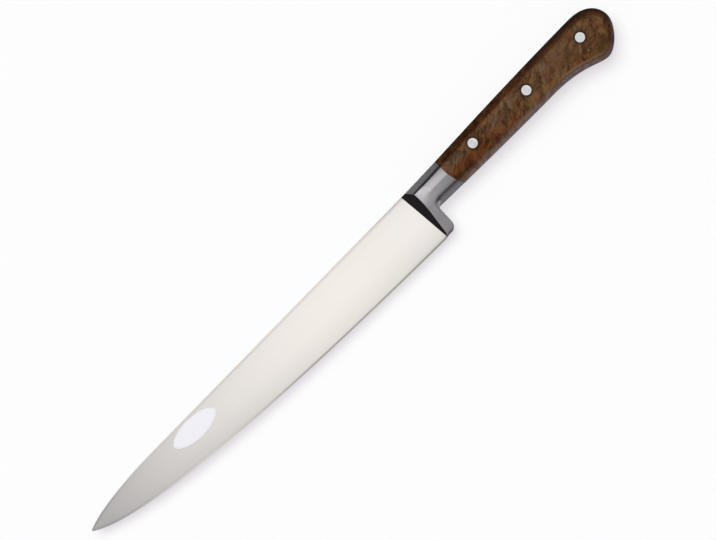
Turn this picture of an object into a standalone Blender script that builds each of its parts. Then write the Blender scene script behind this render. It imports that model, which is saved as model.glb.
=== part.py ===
"""Fillet knife with a forged full bolster, a full tang and riveted wooden scales.

The knife lies on its right side, so its left side faces up. All shapes are drawn round a datum:
x = 0 at the bolster's front and growing towards the butt, y = 0 on the straight part of the
blade's spine and growing away from the edge, z = 0 on the blade's middle plane. One empty
carries every piece to the part's own frame, whose origin is under the middle of the knife.
"""

import math

import bpy
import numpy as np

MM = 0.001

# Blade
BLADE_LENGTH = 200.0 * MM
BLADE_DEPTH = 26.95 * MM
SPINE_THICKNESS = 2.4 * MM
EDGE_THICKNESS = 0.3 * MM
APEX_THICKNESS = 0.06 * MM
EDGE_BEVEL = 0.8 * MM
SPINE_EASE = 0.3 * MM
TIP_DEPTH = 5.35 * MM
TIP_WIDTH = 0.5 * MM
SPINE_DROP_LENGTH = 42.0 * MM
BLADE_ROOT = 4.0 * MM
HEEL_RISE = 0.15

# Bolster
BOLSTER_LENGTH = 20.6 * MM
SHOULDER_START = -1.55 * MM
SHOULDER_SLOPE = math.radians(53.0)
SHOULDER_LEAN = math.radians(5.7)
JUNCTION_LEAN = math.radians(8.5)
HEEL_LENGTH = 7.9 * MM
HEEL_LIFT = 0.4 * MM
HEEL_CORNER = 2.4 * MM
HEEL_ROOT_THICKNESS = 13.5 * MM
HEEL_TOE_THICKNESS = 1.7 * MM

# Handle outline, seen from the side. Depths are below the datum line, rises above it
HANDLE_LENGTH = 120.0 * MM
CROWN_RISE = 2.1 * MM
CROWN_FROM_BUTT = 14.0 * MM
BUTT_DEPTH = 8.5 * MM
HOOK_DEPTH = 21.9 * MM
HOOK_FROM_BUTT = 12.5 * MM
WAIST_DEPTH = 16.3 * MM
WAIST_FROM_BUTT = 42.0 * MM
NECK_DEPTH = 14.3 * MM
NECK_FALL = 0.9 * MM
BLANK_FRONT = -6.0 * MM

# Handle section: how wide the flat strip along each side of the outline is, and how far in the
# edge beside it reaches
HANDLE_THICKNESS = 14.5 * MM
SPINE_FLAT = 9.2 * MM
SPINE_CHAMFER = 2.8 * MM
BUTT_FLAT = 7.0 * MM
BUTT_ROUND = 2.4 * MM
BELLY_FLAT = 4.8 * MM
BELLY_ROUND = 4.0 * MM
TANG_THICKNESS = 2.6 * MM

# Rivets, on a line that falls slightly towards the butt
RIVET_NAMES = ("front_rivet", "middle_rivet", "rear_rivet")
FIRST_RIVET_FROM_BOLSTER = 17.7 * MM
LAST_RIVET_FROM_BUTT = 15.7 * MM
FIRST_RIVET_DEPTH = 5.7 * MM
LAST_RIVET_DEPTH = 6.95 * MM
RIVET_HEAD_RADIUS = 2.4 * MM
RIVET_HEAD_THICKNESS = 1.5 * MM
BARREL_RADIUS = 1.8 * MM
PIN_RADIUS = 1.0 * MM

# Sticker on the blade's left side
LABEL_FROM_TIP = 63.7 * MM
LABEL_BELOW_SPINE = 6.05 * MM
LABEL_LENGTH = 24.6 * MM
LABEL_WIDTH = 9.5 * MM
LABEL_THICKNESS = 0.15 * MM
LABEL_TURN = math.radians(-1.8)

# Gap kept between pieces that touch
CLEARANCE = 0.3 * MM

# Fullness of the outline's curves: how far each handle of a cubic lies along its stretch
TIP_SPINE_PULL = (0.164, 0.079)
SPINE_LEVEL_PULL = 0.386
TIP_EDGE_PULL = (0.086, 0.438)
HEEL_EDGE_PULL = (0.591, 0.088)
NECK_PULL = 0.18
BELLY_PULL = 0.32
WAIST_PULL = 0.65
HOOK_PULL = 0.42
HOOK_BACK_PULL = 0.40
BUTT_LOW_PULL = 0.40
BUTT_HIGH_PULL = 0.51
CROWN_BACK_PULL = 0.70
CROWN_PULL = 0.53
SPINE_PULL = 0.24

# Where the bolster's heel leaves the neck, in shares of the neck's depth, and how it thins
HEEL_TOP_SHARE = 0.4
HEEL_FULL_SHARE = 0.62
HEEL_FLANK_POWER = 1.3

# How finely round shapes are divided
BLADE_STATIONS = 34
TIP_CROWDING = 1.6
OUTLINE_POINTS = 14
EDGE_POINTS = 120
ROUND_ROWS = 5
HEEL_SLICES = 7
CORNER_SLICES = 5
RIVET_SIDES = 28
LABEL_SIDES = 40
LABEL_RINGS = (0.35, 0.7, 1.0)

# Reach of the cutting shapes past what they cut
CUT_REACH = 12.0 * MM

HANDLE_HALF = HANDLE_THICKNESS / 2
TANG_HALF = TANG_THICKNESS / 2
EDGE_HALF = EDGE_THICKNESS / 2
GRIND = (SPINE_THICKNESS / 2 - EDGE_HALF) / BLADE_DEPTH

DATUM_PLACE = (
    (BLADE_LENGTH - HANDLE_LENGTH) / 2,
    (BLADE_DEPTH - CROWN_RISE) / 2,
    HANDLE_HALF,
)


def clear_scene():
    """Takes away what a new file holds, so that only the knife is there."""
    for thing in list(bpy.data.objects):
        bpy.data.objects.remove(thing, do_unlink=True)


def make_material(name, colour, roughness, metallic):
    """A plain finish of one colour."""
    material = bpy.data.materials.new(name)
    material.use_nodes = True
    shader = material.node_tree.nodes["Principled BSDF"]
    shader.inputs["Base Color"].default_value = (*colour, 1.0)
    shader.inputs["Roughness"].default_value = roughness
    shader.inputs["Metallic"].default_value = metallic
    return material


def steel():
    """Bare blade steel."""
    return make_material("blade_steel", (0.62, 0.61, 0.60), 0.30, 1.0)


def walnut(name):
    """Dark brown oiled walnut."""
    return make_material(name, (0.10, 0.045, 0.022), 0.42, 0.0)


def rivet_metal(name):
    """Pale aluminium of the rivets."""
    return make_material(name, (0.76, 0.76, 0.78), 0.35, 1.0)


def label_paper():
    """White paper of the sticker."""
    return make_material("label_paper", (0.86, 0.86, 0.84), 0.60, 0.0)


def add_piece(name, points, faces, datum, material=None):
    """A mesh object carried by the datum. A piece with no material is a cutting shape."""
    mesh = bpy.data.meshes.new(name)
    mesh.from_pydata([tuple(p) for p in points], [], faces)
    mesh.update()
    piece = bpy.data.objects.new(name, mesh)
    bpy.context.scene.collection.objects.link(piece)
    piece.parent = datum
    if material is None:
        piece.hide_render = True
        piece.display_type = "WIRE"
    else:
        mesh.materials.append(material)
    return piece


def combine(piece, other, operation):
    """Joins another shape to a piece, cuts it away, or keeps what they share."""
    modifier = piece.modifiers.new(other.name, "BOOLEAN")
    modifier.operation = operation
    modifier.object = other
    modifier.solver = "EXACT"


def shade_round(piece, angle=math.radians(35.0)):
    """Smooth shading that keeps the edges sharper than the angle."""
    piece.data.shade_smooth()
    piece.data.set_sharp_from_angle(angle=angle)


def bezier(start, leave, arrive, end, count=OUTLINE_POINTS):
    """Points on one cubic curve from start to end, drawn by its two handles."""
    t = np.linspace(0.0, 1.0, count)[:, None]
    weights = ((1 - t) ** 3, 3 * (1 - t) ** 2 * t, 3 * (1 - t) * t**2, t**3)
    return sum(w * np.array(p) for w, p in zip(weights, (start, leave, arrive, end)))


def smooth_step(value):
    """Rises from 0 to 1 as the value does, level at both ends."""
    value = np.clip(value, 0.0, 1.0)
    return value * value * (3 - 2 * value)


def spine_height(x):
    """The blade's upper outline: straight, then falling to the tip."""
    tip = -BLADE_LENGTH
    top = -TIP_DEPTH + TIP_WIDTH / 2
    along, up = TIP_SPINE_PULL
    drop = bezier(
        (tip, top),
        (tip + along * SPINE_DROP_LENGTH, top + up * SPINE_DROP_LENGTH),
        (tip + (1 - SPINE_LEVEL_PULL) * SPINE_DROP_LENGTH, 0.0),
        (tip + SPINE_DROP_LENGTH, 0.0),
        EDGE_POINTS,
    )
    return np.interp(x, drop[:, 0], drop[:, 1])


def edge_height(x):
    """The cutting edge: a steep sweep behind the tip that flattens all the way to the heel,
    and runs up a little where it meets the bolster."""
    tip = -BLADE_LENGTH
    low = -TIP_DEPTH - TIP_WIDTH / 2
    tip_along, tip_down = TIP_EDGE_PULL
    heel_along, heel_up = HEEL_EDGE_PULL
    sweep = bezier(
        (tip, low),
        (tip + tip_along * BLADE_LENGTH, low - tip_down * BLADE_DEPTH),
        (-heel_along * BLADE_LENGTH, (heel_up - 1) * BLADE_DEPTH),
        (0.0, -BLADE_DEPTH),
        EDGE_POINTS,
    )
    return np.interp(x, sweep[:, 0], sweep[:, 1]) + HEEL_RISE * np.maximum(x, 0.0)


def blade_half(x, y):
    """Half the blade's thickness: it grows at one steady rate from the edge to the spine."""
    return EDGE_HALF + GRIND * (y - edge_height(x))


def loft(rings, close_ends=True):
    """Faces over a row of rings with as many points each, rings counted along the first axis."""
    rows, sides = rings.shape[:2]
    faces = []
    for row in range(rows - 1):
        for side in range(sides):
            after = (side + 1) % sides
            low = row * sides
            high = low + sides
            faces.append((low + side, low + after, high + after, high + side))
    if close_ends:
        faces.append(tuple(range(sides - 1, -1, -1)))
        faces.append(tuple(range((rows - 1) * sides, rows * sides)))
    return rings.reshape(-1, 3), faces


def blade_shape(datum):
    """The blade: an eight-sided section carried from the tip into the bolster. On so small a
    section as the tip's, the bevel and the eased spine take a share of the height instead."""
    along = np.linspace(0.0, 1.0, BLADE_STATIONS) ** TIP_CROWDING
    x = np.concatenate([-BLADE_LENGTH * (1 - along), [BLADE_ROOT / 2, BLADE_ROOT]])
    edge = edge_height(x)
    spine = spine_height(x)
    height = spine - edge
    bevel = np.minimum(EDGE_BEVEL, 0.3 * height)
    ease = np.minimum(SPINE_EASE, 0.15 * height)
    apex = np.full_like(x, APEX_THICKNESS / 2)
    half_low = blade_half(x, edge + bevel)
    half_high = blade_half(x, spine - ease)
    y = [edge, edge + bevel, spine - ease, spine]
    z = [apex, half_low, half_high, half_high - ease]
    upper = [np.stack([x, b, c], axis=1) for b, c in zip(y, z)]
    lower = [np.stack([x, b, -c], axis=1) for b, c in zip(y[::-1], z[::-1])]
    points, faces = loft(np.stack(upper + lower, axis=1))
    return add_piece("blade_shape", points, faces, datum)


def handle_outline():
    """The handle seen from the side, as one open line from the neck's belly, round the butt,
    to the neck's spine."""
    waist = (HANDLE_LENGTH - WAIST_FROM_BUTT, -WAIST_DEPTH)
    hook = (HANDLE_LENGTH - HOOK_FROM_BUTT, -HOOK_DEPTH)
    end = (HANDLE_LENGTH, -BUTT_DEPTH)
    crown = (HANDLE_LENGTH - CROWN_FROM_BUTT, CROWN_RISE)
    belly = bezier(
        (BLANK_FRONT, -NECK_DEPTH),
        (BLANK_FRONT + NECK_PULL * waist[0], -NECK_DEPTH - NECK_FALL),
        ((1 - BELLY_PULL) * waist[0], -WAIST_DEPTH),
        waist,
    )
    sweep = bezier(
        waist,
        (waist[0] + WAIST_PULL * (hook[0] - waist[0]), -WAIST_DEPTH),
        (hook[0] - HOOK_PULL * HOOK_FROM_BUTT, -HOOK_DEPTH),
        hook,
    )
    hook_back = bezier(
        hook,
        (hook[0] + HOOK_BACK_PULL * HOOK_FROM_BUTT, -HOOK_DEPTH),
        (HANDLE_LENGTH, -BUTT_DEPTH - BUTT_LOW_PULL * (HOOK_DEPTH - BUTT_DEPTH)),
        end,
    )
    crown_back = bezier(
        end,
        (HANDLE_LENGTH, -BUTT_DEPTH + BUTT_HIGH_PULL * (BUTT_DEPTH + CROWN_RISE)),
        (crown[0] + CROWN_BACK_PULL * CROWN_FROM_BUTT, CROWN_RISE),
        crown,
    )
    spine = bezier(
        crown,
        ((1 - CROWN_PULL) * crown[0], CROWN_RISE),
        (SPINE_PULL * crown[0], 0.0),
        (BLANK_FRONT, 0.0),
    )
    return np.concatenate([belly, sweep[1:], hook_back[1:], crown_back[1:], spine[1:]])


def inward(line):
    """Unit normals of an open line that runs anticlockwise, pointing into the shape."""
    step = np.gradient(line, axis=0)
    step /= np.linalg.norm(step, axis=1)[:, None]
    return np.stack([-step[:, 1], step[:, 0]], axis=1)


def handle_blank(name, datum, material):
    """Bolster neck, tang and both scales as one ground shape.

    Each row of points is the outline moved inwards and outwards in thickness. On the spine the
    rows make one straight chamfer, on the belly a quarter ellipse, and round the butt the one
    turns into the other as the outline turns."""
    line = handle_outline()
    normal = inward(line)
    round_share = smooth_step(1 + normal[:, 1])
    belly_share = np.clip(normal[:, 1], 0.0, 1.0)
    spine_share = np.clip(-normal[:, 1], 0.0, 1.0)
    width = BUTT_ROUND + (BELLY_ROUND - BUTT_ROUND) * belly_share
    width += (SPINE_CHAMFER - BUTT_ROUND) * spine_share
    strip = BUTT_FLAT + (BELLY_FLAT - BUTT_FLAT) * belly_share
    strip += (SPINE_FLAT - BUTT_FLAT) * spine_share
    flat = strip / 2
    rise = HANDLE_HALF - flat
    rows = []
    for share in np.linspace(0.0, 1.0, ROUND_ROWS):
        turn = share * math.pi / 2
        inset = width * ((1 - round_share) * share + round_share * (1 - math.cos(turn)))
        lift = flat + rise * ((1 - round_share) * share + round_share * math.sin(turn))
        moved = line + normal * inset[:, None]
        rows.append(np.column_stack([moved, lift]))
    mirrored = [row * (1, 1, -1) for row in rows[::-1]]
    points, faces = loft(np.stack(mirrored + rows, axis=0))
    return add_piece(name, points, faces, datum, material)


def heel_shape(datum):
    """The bolster's lower part: level slices that get thinner towards the edge, with a rounded
    rear corner at the bottom."""
    top = -HEEL_TOP_SHARE * NECK_DEPTH
    full = -HEEL_FULL_SHARE * NECK_DEPTH
    toe = HEEL_LIFT - BLADE_DEPTH
    corner = toe + HEEL_CORNER
    flank = np.linspace(top, corner, HEEL_SLICES)
    turn = np.linspace(0.0, math.pi / 2, CORNER_SLICES + 1)[1:]
    y = np.concatenate([flank, corner - HEEL_CORNER * np.sin(turn)])
    drawn_in = np.concatenate([np.zeros(HEEL_SLICES), HEEL_CORNER * (1 - np.cos(turn))])
    share = np.clip((y - toe) / (full - toe), 0.0, 1.0)
    swell = np.sin(share * math.pi / 2) ** HEEL_FLANK_POWER
    half = (HEEL_TOE_THICKNESS + (HEEL_ROOT_THICKNESS - HEEL_TOE_THICKNESS) * swell) / 2
    front = np.full_like(y, BLANK_FRONT)
    back = HEEL_LENGTH - drawn_in
    corners = [(front, -half), (front, half), (back, half), (back, -half)]
    rings = np.stack([np.stack([x, y, z], axis=1) for x, z in corners], axis=1)
    points, faces = loft(rings)
    return add_piece("heel_shape", points, faces, datum)


def shoulder_cutter(datum):
    """The space in front of the bolster: a fishtail prism whose notch leaves two sloping
    shoulders that lean back towards the edge."""
    reach = HANDLE_HALF + CUT_REACH
    run = reach / math.tan(SHOULDER_SLOPE)
    front = BLANK_FRONT - CUT_REACH
    section = [(SHOULDER_START, 0.0), (SHOULDER_START + run, reach), (front, reach)]
    section += [(front, -reach), (SHOULDER_START + run, -reach)]
    rings = []
    for y in (CUT_REACH, -BLADE_DEPTH - CUT_REACH):
        shift = -y * math.tan(SHOULDER_LEAN)
        rings.append([(x + shift, y, z) for x, z in section])
    points, faces = loft(np.array(rings))
    return add_piece("shoulder_cutter", points, faces, datum)


def scale_space(name, side, clearance, datum):
    """The space behind the bolster and beside the tang, on the side +1 (left) or -1 (right)."""
    lean = math.tan(JUNCTION_LEAN)
    front = BOLSTER_LENGTH + clearance / math.cos(JUNCTION_LEAN)
    top = CROWN_RISE + CUT_REACH
    bottom = -HOOK_DEPTH - CUT_REACH
    back = HANDLE_LENGTH + CUT_REACH
    plan = [(front - lean * top, top), (front - lean * bottom, bottom), (back, bottom), (back, top)]
    levels = sorted([side * (TANG_HALF + clearance), side * (HANDLE_HALF + CUT_REACH)])
    rings = np.array([[(x, y, z) for x, y in plan] for z in levels])
    points, faces = loft(rings)
    return add_piece(name, points, faces, datum)


def rivet_places():
    """Centres of the rivets, evenly spread from the first to the last."""
    count = len(RIVET_NAMES)
    x = np.linspace(BOLSTER_LENGTH + FIRST_RIVET_FROM_BOLSTER, HANDLE_LENGTH - LAST_RIVET_FROM_BUTT, count)
    y = np.linspace(-FIRST_RIVET_DEPTH, -LAST_RIVET_DEPTH, count)
    return list(zip(x, y))


def turned(profile, place):
    """A closed shape turned round the thickness axis at a place. The profile is a list of
    (radius, height) that starts and ends on the axis, lowest point first."""
    angle = np.linspace(0.0, 2 * math.pi, RIVET_SIDES, endpoint=False)
    circle = np.stack([np.cos(angle), np.sin(angle)], axis=1)
    rings = [np.column_stack([circle * r + place, np.full(RIVET_SIDES, z)]) for r, z in profile[1:-1]]
    points, faces = loft(np.stack(rings), close_ends=False)
    base, tip = len(points), len(points) + 1
    points = np.vstack([points, (*place, profile[0][1]), (*place, profile[-1][1])])
    last = base - RIVET_SIDES
    for side in range(RIVET_SIDES):
        after = (side + 1) % RIVET_SIDES
        faces.append((base, after, side))
        faces.append((last + side, last + after, tip))
    return points, faces


def turned_group(name, profile, datum):
    """The same turned shape at each rivet's place, as one cutting shape."""
    all_points, all_faces = [], []
    for place in rivet_places():
        points, faces = turned(profile, place)
        start = sum(len(p) for p in all_points)
        all_points.append(points)
        all_faces += [tuple(start + corner for corner in face) for face in faces]
    return add_piece(name, np.vstack(all_points), all_faces, datum)


def tang_hole_cutter(datum):
    """Holes for the rivets' barrels, right through the tang."""
    radius = BARREL_RADIUS + CLEARANCE
    reach = TANG_HALF + CLEARANCE
    profile = [(0, -reach), (radius, -reach), (radius, reach), (0, reach)]
    return turned_group("tang_holes", profile, datum)


def scale_hole_cutter(name, side, datum):
    """A hole for each barrel through a scale, with a counterbore that the rivet's head sits in."""
    narrow = BARREL_RADIUS + CLEARANCE
    wide = RIVET_HEAD_RADIUS + CLEARANCE
    seat = HANDLE_HALF - RIVET_HEAD_THICKNESS - CLEARANCE
    outside = HANDLE_HALF + CLEARANCE
    profile = [(0, 0), (narrow, 0), (narrow, seat), (wide, seat), (wide, outside), (0, outside)]
    if side < 0:
        profile = [(radius, -height) for radius, height in profile[::-1]]
    return turned_group(name, profile, datum)


def forging(datum):
    """Blade, bolster and full tang, forged and ground from one bar."""
    piece = handle_blank("blade_forging", datum, steel())
    combine(piece, heel_shape(datum), "UNION")
    combine(piece, shoulder_cutter(datum), "DIFFERENCE")
    for word, side in (("left", 1), ("right", -1)):
        combine(piece, scale_space(f"{word}_scale_seat", side, 0.0, datum), "DIFFERENCE")
    combine(piece, blade_shape(datum), "UNION")
    combine(piece, tang_hole_cutter(datum), "DIFFERENCE")


def scale(word, side, datum):
    """One wooden half of the handle, cut from the ground shape."""
    piece = handle_blank(f"{word}_scale", datum, walnut(f"{word}_walnut"))
    combine(piece, scale_space(f"{word}_scale_space", side, CLEARANCE, datum), "INTERSECT")
    combine(piece, scale_hole_cutter(f"{word}_scale_holes", side, datum), "DIFFERENCE")


def rivet(name, place, datum):
    """A two-part rivet: the socket half comes from the right, the post half from the left, and
    the post's pin runs inside the socket's barrel."""
    under_head = HANDLE_HALF - RIVET_HEAD_THICKNESS
    bore = PIN_RADIUS + CLEARANCE
    barrel_end = under_head - CLEARANCE
    socket_profile = [
        (0, -HANDLE_HALF),
        (RIVET_HEAD_RADIUS, -HANDLE_HALF),
        (RIVET_HEAD_RADIUS, -under_head),
        (BARREL_RADIUS, -under_head),
        (BARREL_RADIUS, barrel_end),
        (bore, barrel_end),
        (bore, -under_head),
        (0, -under_head),
    ]
    post_profile = [
        (0, -under_head + CLEARANCE),
        (PIN_RADIUS, -under_head + CLEARANCE),
        (PIN_RADIUS, under_head),
        (RIVET_HEAD_RADIUS, under_head),
        (RIVET_HEAD_RADIUS, HANDLE_HALF),
        (0, HANDLE_HALF),
    ]
    for half, profile in (("socket", socket_profile), ("post", post_profile)):
        points, faces = turned(profile, place)
        title = f"{name}_{half}"
        shade_round(add_piece(title, points, faces, datum, rivet_metal(f"{title}_metal")))


def label(datum):
    """A blank oval sticker that lies along the blade's left side: rings of points from its
    middle to its rim on the ground face, and back to the middle one thickness higher."""
    angle = np.linspace(0.0, 2 * math.pi, LABEL_SIDES, endpoint=False)
    oval = np.stack([np.cos(angle) * LABEL_LENGTH / 2, np.sin(angle) * LABEL_WIDTH / 2], axis=1)
    cosine, sine = math.cos(LABEL_TURN), math.sin(LABEL_TURN)
    oval = oval @ np.array([[cosine, sine], [-sine, cosine]])
    centre = (LABEL_FROM_TIP - BLADE_LENGTH, -LABEL_BELOW_SPINE)
    below = [(share, CLEARANCE) for share in LABEL_RINGS]
    above = [(share, CLEARANCE + LABEL_THICKNESS) for share in LABEL_RINGS[::-1]]
    rings = []
    for share, lift in below + above:
        spot = oval * share + centre
        rings.append(np.column_stack([spot, blade_half(spot[:, 0], spot[:, 1]) + lift]))
    points, faces = loft(np.stack(rings))
    add_piece("label_sticker", points, faces, datum, label_paper())


def build_knife():
    """All the pieces, carried by the datum to the part's own frame."""
    clear_scene()
    datum = bpy.data.objects.new("knife_datum", None)
    bpy.context.scene.collection.objects.link(datum)
    datum.location = DATUM_PLACE
    forging(datum)
    scale("left", 1, datum)
    scale("right", -1, datum)
    for name, place in zip(RIVET_NAMES, rivet_places()):
        rivet(name, place, datum)
    label(datum)


build_knife()
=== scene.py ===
"""Looks of the fillet knife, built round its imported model.

Shapes are worked out in millimetres round the knife's datum, as in the part's own source: x = 0 at
the bolster's front and growing towards the butt, y = 0 on the straight part of the blade's spine
and growing away from the edge, z = 0 on the blade's middle plane with the left side up.
"""

import math
from types import SimpleNamespace

import bmesh
import bpy
import numpy as np
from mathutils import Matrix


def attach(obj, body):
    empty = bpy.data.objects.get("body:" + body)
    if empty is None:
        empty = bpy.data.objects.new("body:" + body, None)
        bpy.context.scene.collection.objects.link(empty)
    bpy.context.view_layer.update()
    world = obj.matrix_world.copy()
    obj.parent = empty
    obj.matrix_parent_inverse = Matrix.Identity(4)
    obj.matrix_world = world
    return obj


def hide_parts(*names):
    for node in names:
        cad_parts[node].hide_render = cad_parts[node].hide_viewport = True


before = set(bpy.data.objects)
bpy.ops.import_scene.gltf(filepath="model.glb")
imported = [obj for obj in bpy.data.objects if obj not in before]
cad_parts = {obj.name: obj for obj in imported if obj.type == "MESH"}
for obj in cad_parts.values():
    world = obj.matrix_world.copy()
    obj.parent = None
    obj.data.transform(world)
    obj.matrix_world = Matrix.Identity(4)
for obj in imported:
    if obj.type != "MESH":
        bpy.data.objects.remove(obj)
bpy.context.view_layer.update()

MM = 0.001
DATUM_PLACE = np.array([40.0, 12.425, 7.25])

# Meshes: where points merge and edges vanish, in metres, which edges stay crisp, and how many
# points are measured at a time
SAME_POINT = 1e-7
NO_LENGTH = 1e-8
CRISP_ANGLE = math.radians(32.0)
STEEL_CRISP_ANGLE = math.radians(30.0)
BATCH = 2000

# Blade. Leave and arrive tell where a curve's two handles lie, as shares of its size
BLADE_LENGTH = 200.0
BLADE_DEPTH = 26.95
SPINE_THICKNESS = 2.4
EDGE_THICKNESS = 0.3
APEX_THICKNESS = 0.06
EDGE_BEVEL = 0.8
EDGE_BEVEL_LIMIT = 0.3
SPINE_EASE = 0.12
SPINE_EASE_LIMIT = 0.15
TIP_DEPTH = 5.35
TIP_WIDTH = 0.5
SPINE_DROP_LENGTH = 42.0
SPINE_DROP_LEAVE = (0.164, 0.079)
SPINE_DROP_ARRIVE = 0.614
EDGE_LEAVE = (0.086, 0.438)
EDGE_ARRIVE = (0.591, 0.912)
CURVE_POINTS = 300
BLADE_ROOT = 4.0
HEEL_RISE = 0.15
BELLY_OF_GRIND = 0.12
EDGE_HALF = EDGE_THICKNESS / 2
GRIND = (SPINE_THICKNESS / 2 - EDGE_HALF) / BLADE_DEPTH

# The blade's grid: its sections, and in each its rows on the bevel, the ground face and the ease
BLADE_SECTIONS = 280
TIP_CROWDING = 1.4
BEVEL_ROWS = np.array([[0.0, 0.5, 0.95]])
GROUND_ROWS = np.linspace(0.0, 1.0, 16)[None, :]
EASE_ROWS = np.linspace(0.15, 1.0, 5)[None, :]

# Bolster
BOLSTER_LENGTH = 20.6
SHOULDER_START = -1.55
SHOULDER_SLOPE = math.tan(math.radians(53.0))
SHOULDER_LEAN = math.tan(math.radians(5.7))
SHOULDER_CREASE = 0.15
SHOULDER_BACK = 2.0
SHOULDER_FOOT = 0.5
FOOT_LIFT = 0.5
INSIDE_BLADE = 0.5
INSIDE_HEEL = 0.4
JUNCTION_LEAN = math.tan(math.radians(8.5))
JUNCTION_TURN = 8.0
JUNCTION_TOP = 20.75
JUNCTION_BEND = 0.0216
JUNCTION_BEND_FROM = -4.4
JUNCTION_BEND_REACH = 7.0
PAST_JUNCTION = 26.0
HEEL_LENGTH = 7.9
HEEL_LIFT = 0.4
HEEL_CORNER = 3.0
HEEL_FILLET = 1.0
HEEL_TOE_HALF = 1.15
HEEL_SLOPE = 0.32
TOE_ROUND = 0.8
BLUNT = 0.6
HEEL_SOFTNESS = 1.9
HEEL_EDGE_ROUND = 0.45
HEEL_EDGE_FALL = 0.4
REAR_LEAN = 0.045
REAR_LEAN_FADE = 6.0
NECK_CREASE = 0.65
THINNEST = 0.05

# The bolster's grid: how its upper outline is split, its columns, its rows at the rims and the
# steps between these
ARC_POINTS = 30
UPPER_START = 0.6
UPPER_SPLIT = 9.2
HEEL_COLUMNS = 110
NECK_COLUMNS = 60
LAST_COLUMNS = 30
SHOULDER_COLUMNS = 60
SHOULDER_STEPS = 12
HIGH_ROWS = np.concatenate([np.linspace(0.0, 2.0, 6), np.linspace(2.25, 3.85, 12)])
LOW_ROWS = 16
BOLSTER_STEPS = 46

# Handle outline. Each hold tells where a curve's handles lie, as shares of its size
HANDLE_LENGTH = 120.0
CROWN_RISE = 2.1
CROWN_FROM_BUTT = 14.0
BUTT_DEPTH = 8.5
HOOK_DEPTH = 21.9
HOOK_FROM_BUTT = 12.5
WAIST_DEPTH = 16.3
WAIST_FROM_BUTT = 42.0
NECK_DEPTH = 14.3
NECK_FALL = 0.9
BLANK_FRONT = -6.0
BELLY_HOLD = (0.18, 0.68)
SWEEP_HOLD = (0.65, 0.42)
HOOK_HOLD = 0.40
CROWN_HOLD = (0.51, 0.70)
SPINE_HOLD = (0.47, 0.24)
BUTT_POINTS = 200
NECK_POINTS = 250

# Handle section
HANDLE_HALF = 7.25
SPINE_FLAT_HALF = 4.4
SPINE_CHAMFER = 3.0
CHAMFER_CREASE = 1.1
BUTT_FLAT_HALF = 3.5
BUTT_ROUND = 2.4
BELLY_FLAT_HALF = 2.4
BELLY_ROUND = 4.0
TANG_HALF = 1.3
TANG_EASE = 0.12
TANG_OVERLAP = 0.5
GLUE = 0.04
WOOD_GAP = 0.12
FACET_TOP = -6.3
FACET_SLOPE = 0.24
FACET_SOFTNESS = 1.2
FACET_DEPTH = 8.0
FACE_CROWN = 0.015
FACE_CROWN_FROM = -5.7
RIM_FALL = 0.2
RIM_FALL_WIDTH = 6.0
UNDERSIDE_SLOPE = 0.91
UNDERSIDE_FROM = 5.05
UNDERSIDE_FULL = 1.2

# The handle's grids: columns, rows inside the rim, steps between these, and the edge's mark
HANDLE_COLUMNS = 300
ROUND_ROWS = 15
CHAMFER_ROWS = np.array([1.08, 1.16, 1.25, 1.36])
WOOD_STEPS = 26
TANG_ROWS = np.array([0.0, 0.03, 0.06, 0.12, 0.3, 1.0])
TANG_STEPS = 4
FAR_INSIDE = 9.0
EDGE_MARK = 1.3

# Rises: where each starts and how long it is, in millimetres, but in columns for the rim
FACET_FADE = (25.0, 55.0)
UNDERSIDE_FADE = (25.0, 20.0)
NECK_ALONG = (5.0, 6.0)
NECK_UP = (-17.0, 3.5)
HOLLOW_ALONG = (6.9, 5.0)
HOLLOW_UP = (-1.76, 1.6)
RIM_WIDENING = (107, 16)
SHOULDER_MARK = (-25.6, 0.7)

# Rivets. A head's profile has depths below the face, first at distances inwards from its rim,
# then at distances from the axis
RIVET_NAMES = ("front_rivet", "middle_rivet", "rear_rivet")
FIRST_RIVET = (38.3, -5.7)
LAST_RIVET = (104.3, -6.95)
RIVET_HEAD_RADIUS = 2.3
RIVET_HEAD_THICKNESS = 1.5
BARREL_RADIUS = 1.8
PIN_RADIUS = 1.0
RIVET_PLAY = 0.3
RIVET_GAP = 0.28
SEAT_START = 0.5
SEAT_END = HANDLE_HALF + 1.0
RIVET_RIM = ((0.0, 0.16), (0.03, 0.07), (0.09, 0.01), (0.16, 0.0), (0.5, 0.0))
RIVET_RING = [(1.42, 0.0), (1.32, 0.04), (1.2, 0.04), (1.1, 0.02)]
RIVET_DOME = [(0.8, 0.01), (0.4, 0.0), (0.0, 0.0)]

# Sticker
LABEL_CENTRE = (-136.3, -6.05)
LABEL_LENGTH = 24.6
LABEL_WIDTH = 9.5
LABEL_TURN = math.radians(-1.8)
LABEL_POWER = 1.14
LABEL_SIDES = 128
LABEL_RINGS = np.append(np.linspace(0.0, 0.99, 12), 1.0)
LABEL_UNDERSIDE = 0.01
LABEL_TOP = 0.11
LABEL_CURL = 0.02

# The photograph's view
FRAME_WIDTH = 0.3144
CAMERA_DISTANCE = 3.0
CAMERA_TURN = math.radians(45.64)
CAMERA_TARGET = np.array([0.00343, 0.00374, 0.00725])
SENSOR_WIDTH = 36.0
NEAREST_SEEN = 0.05

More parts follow.
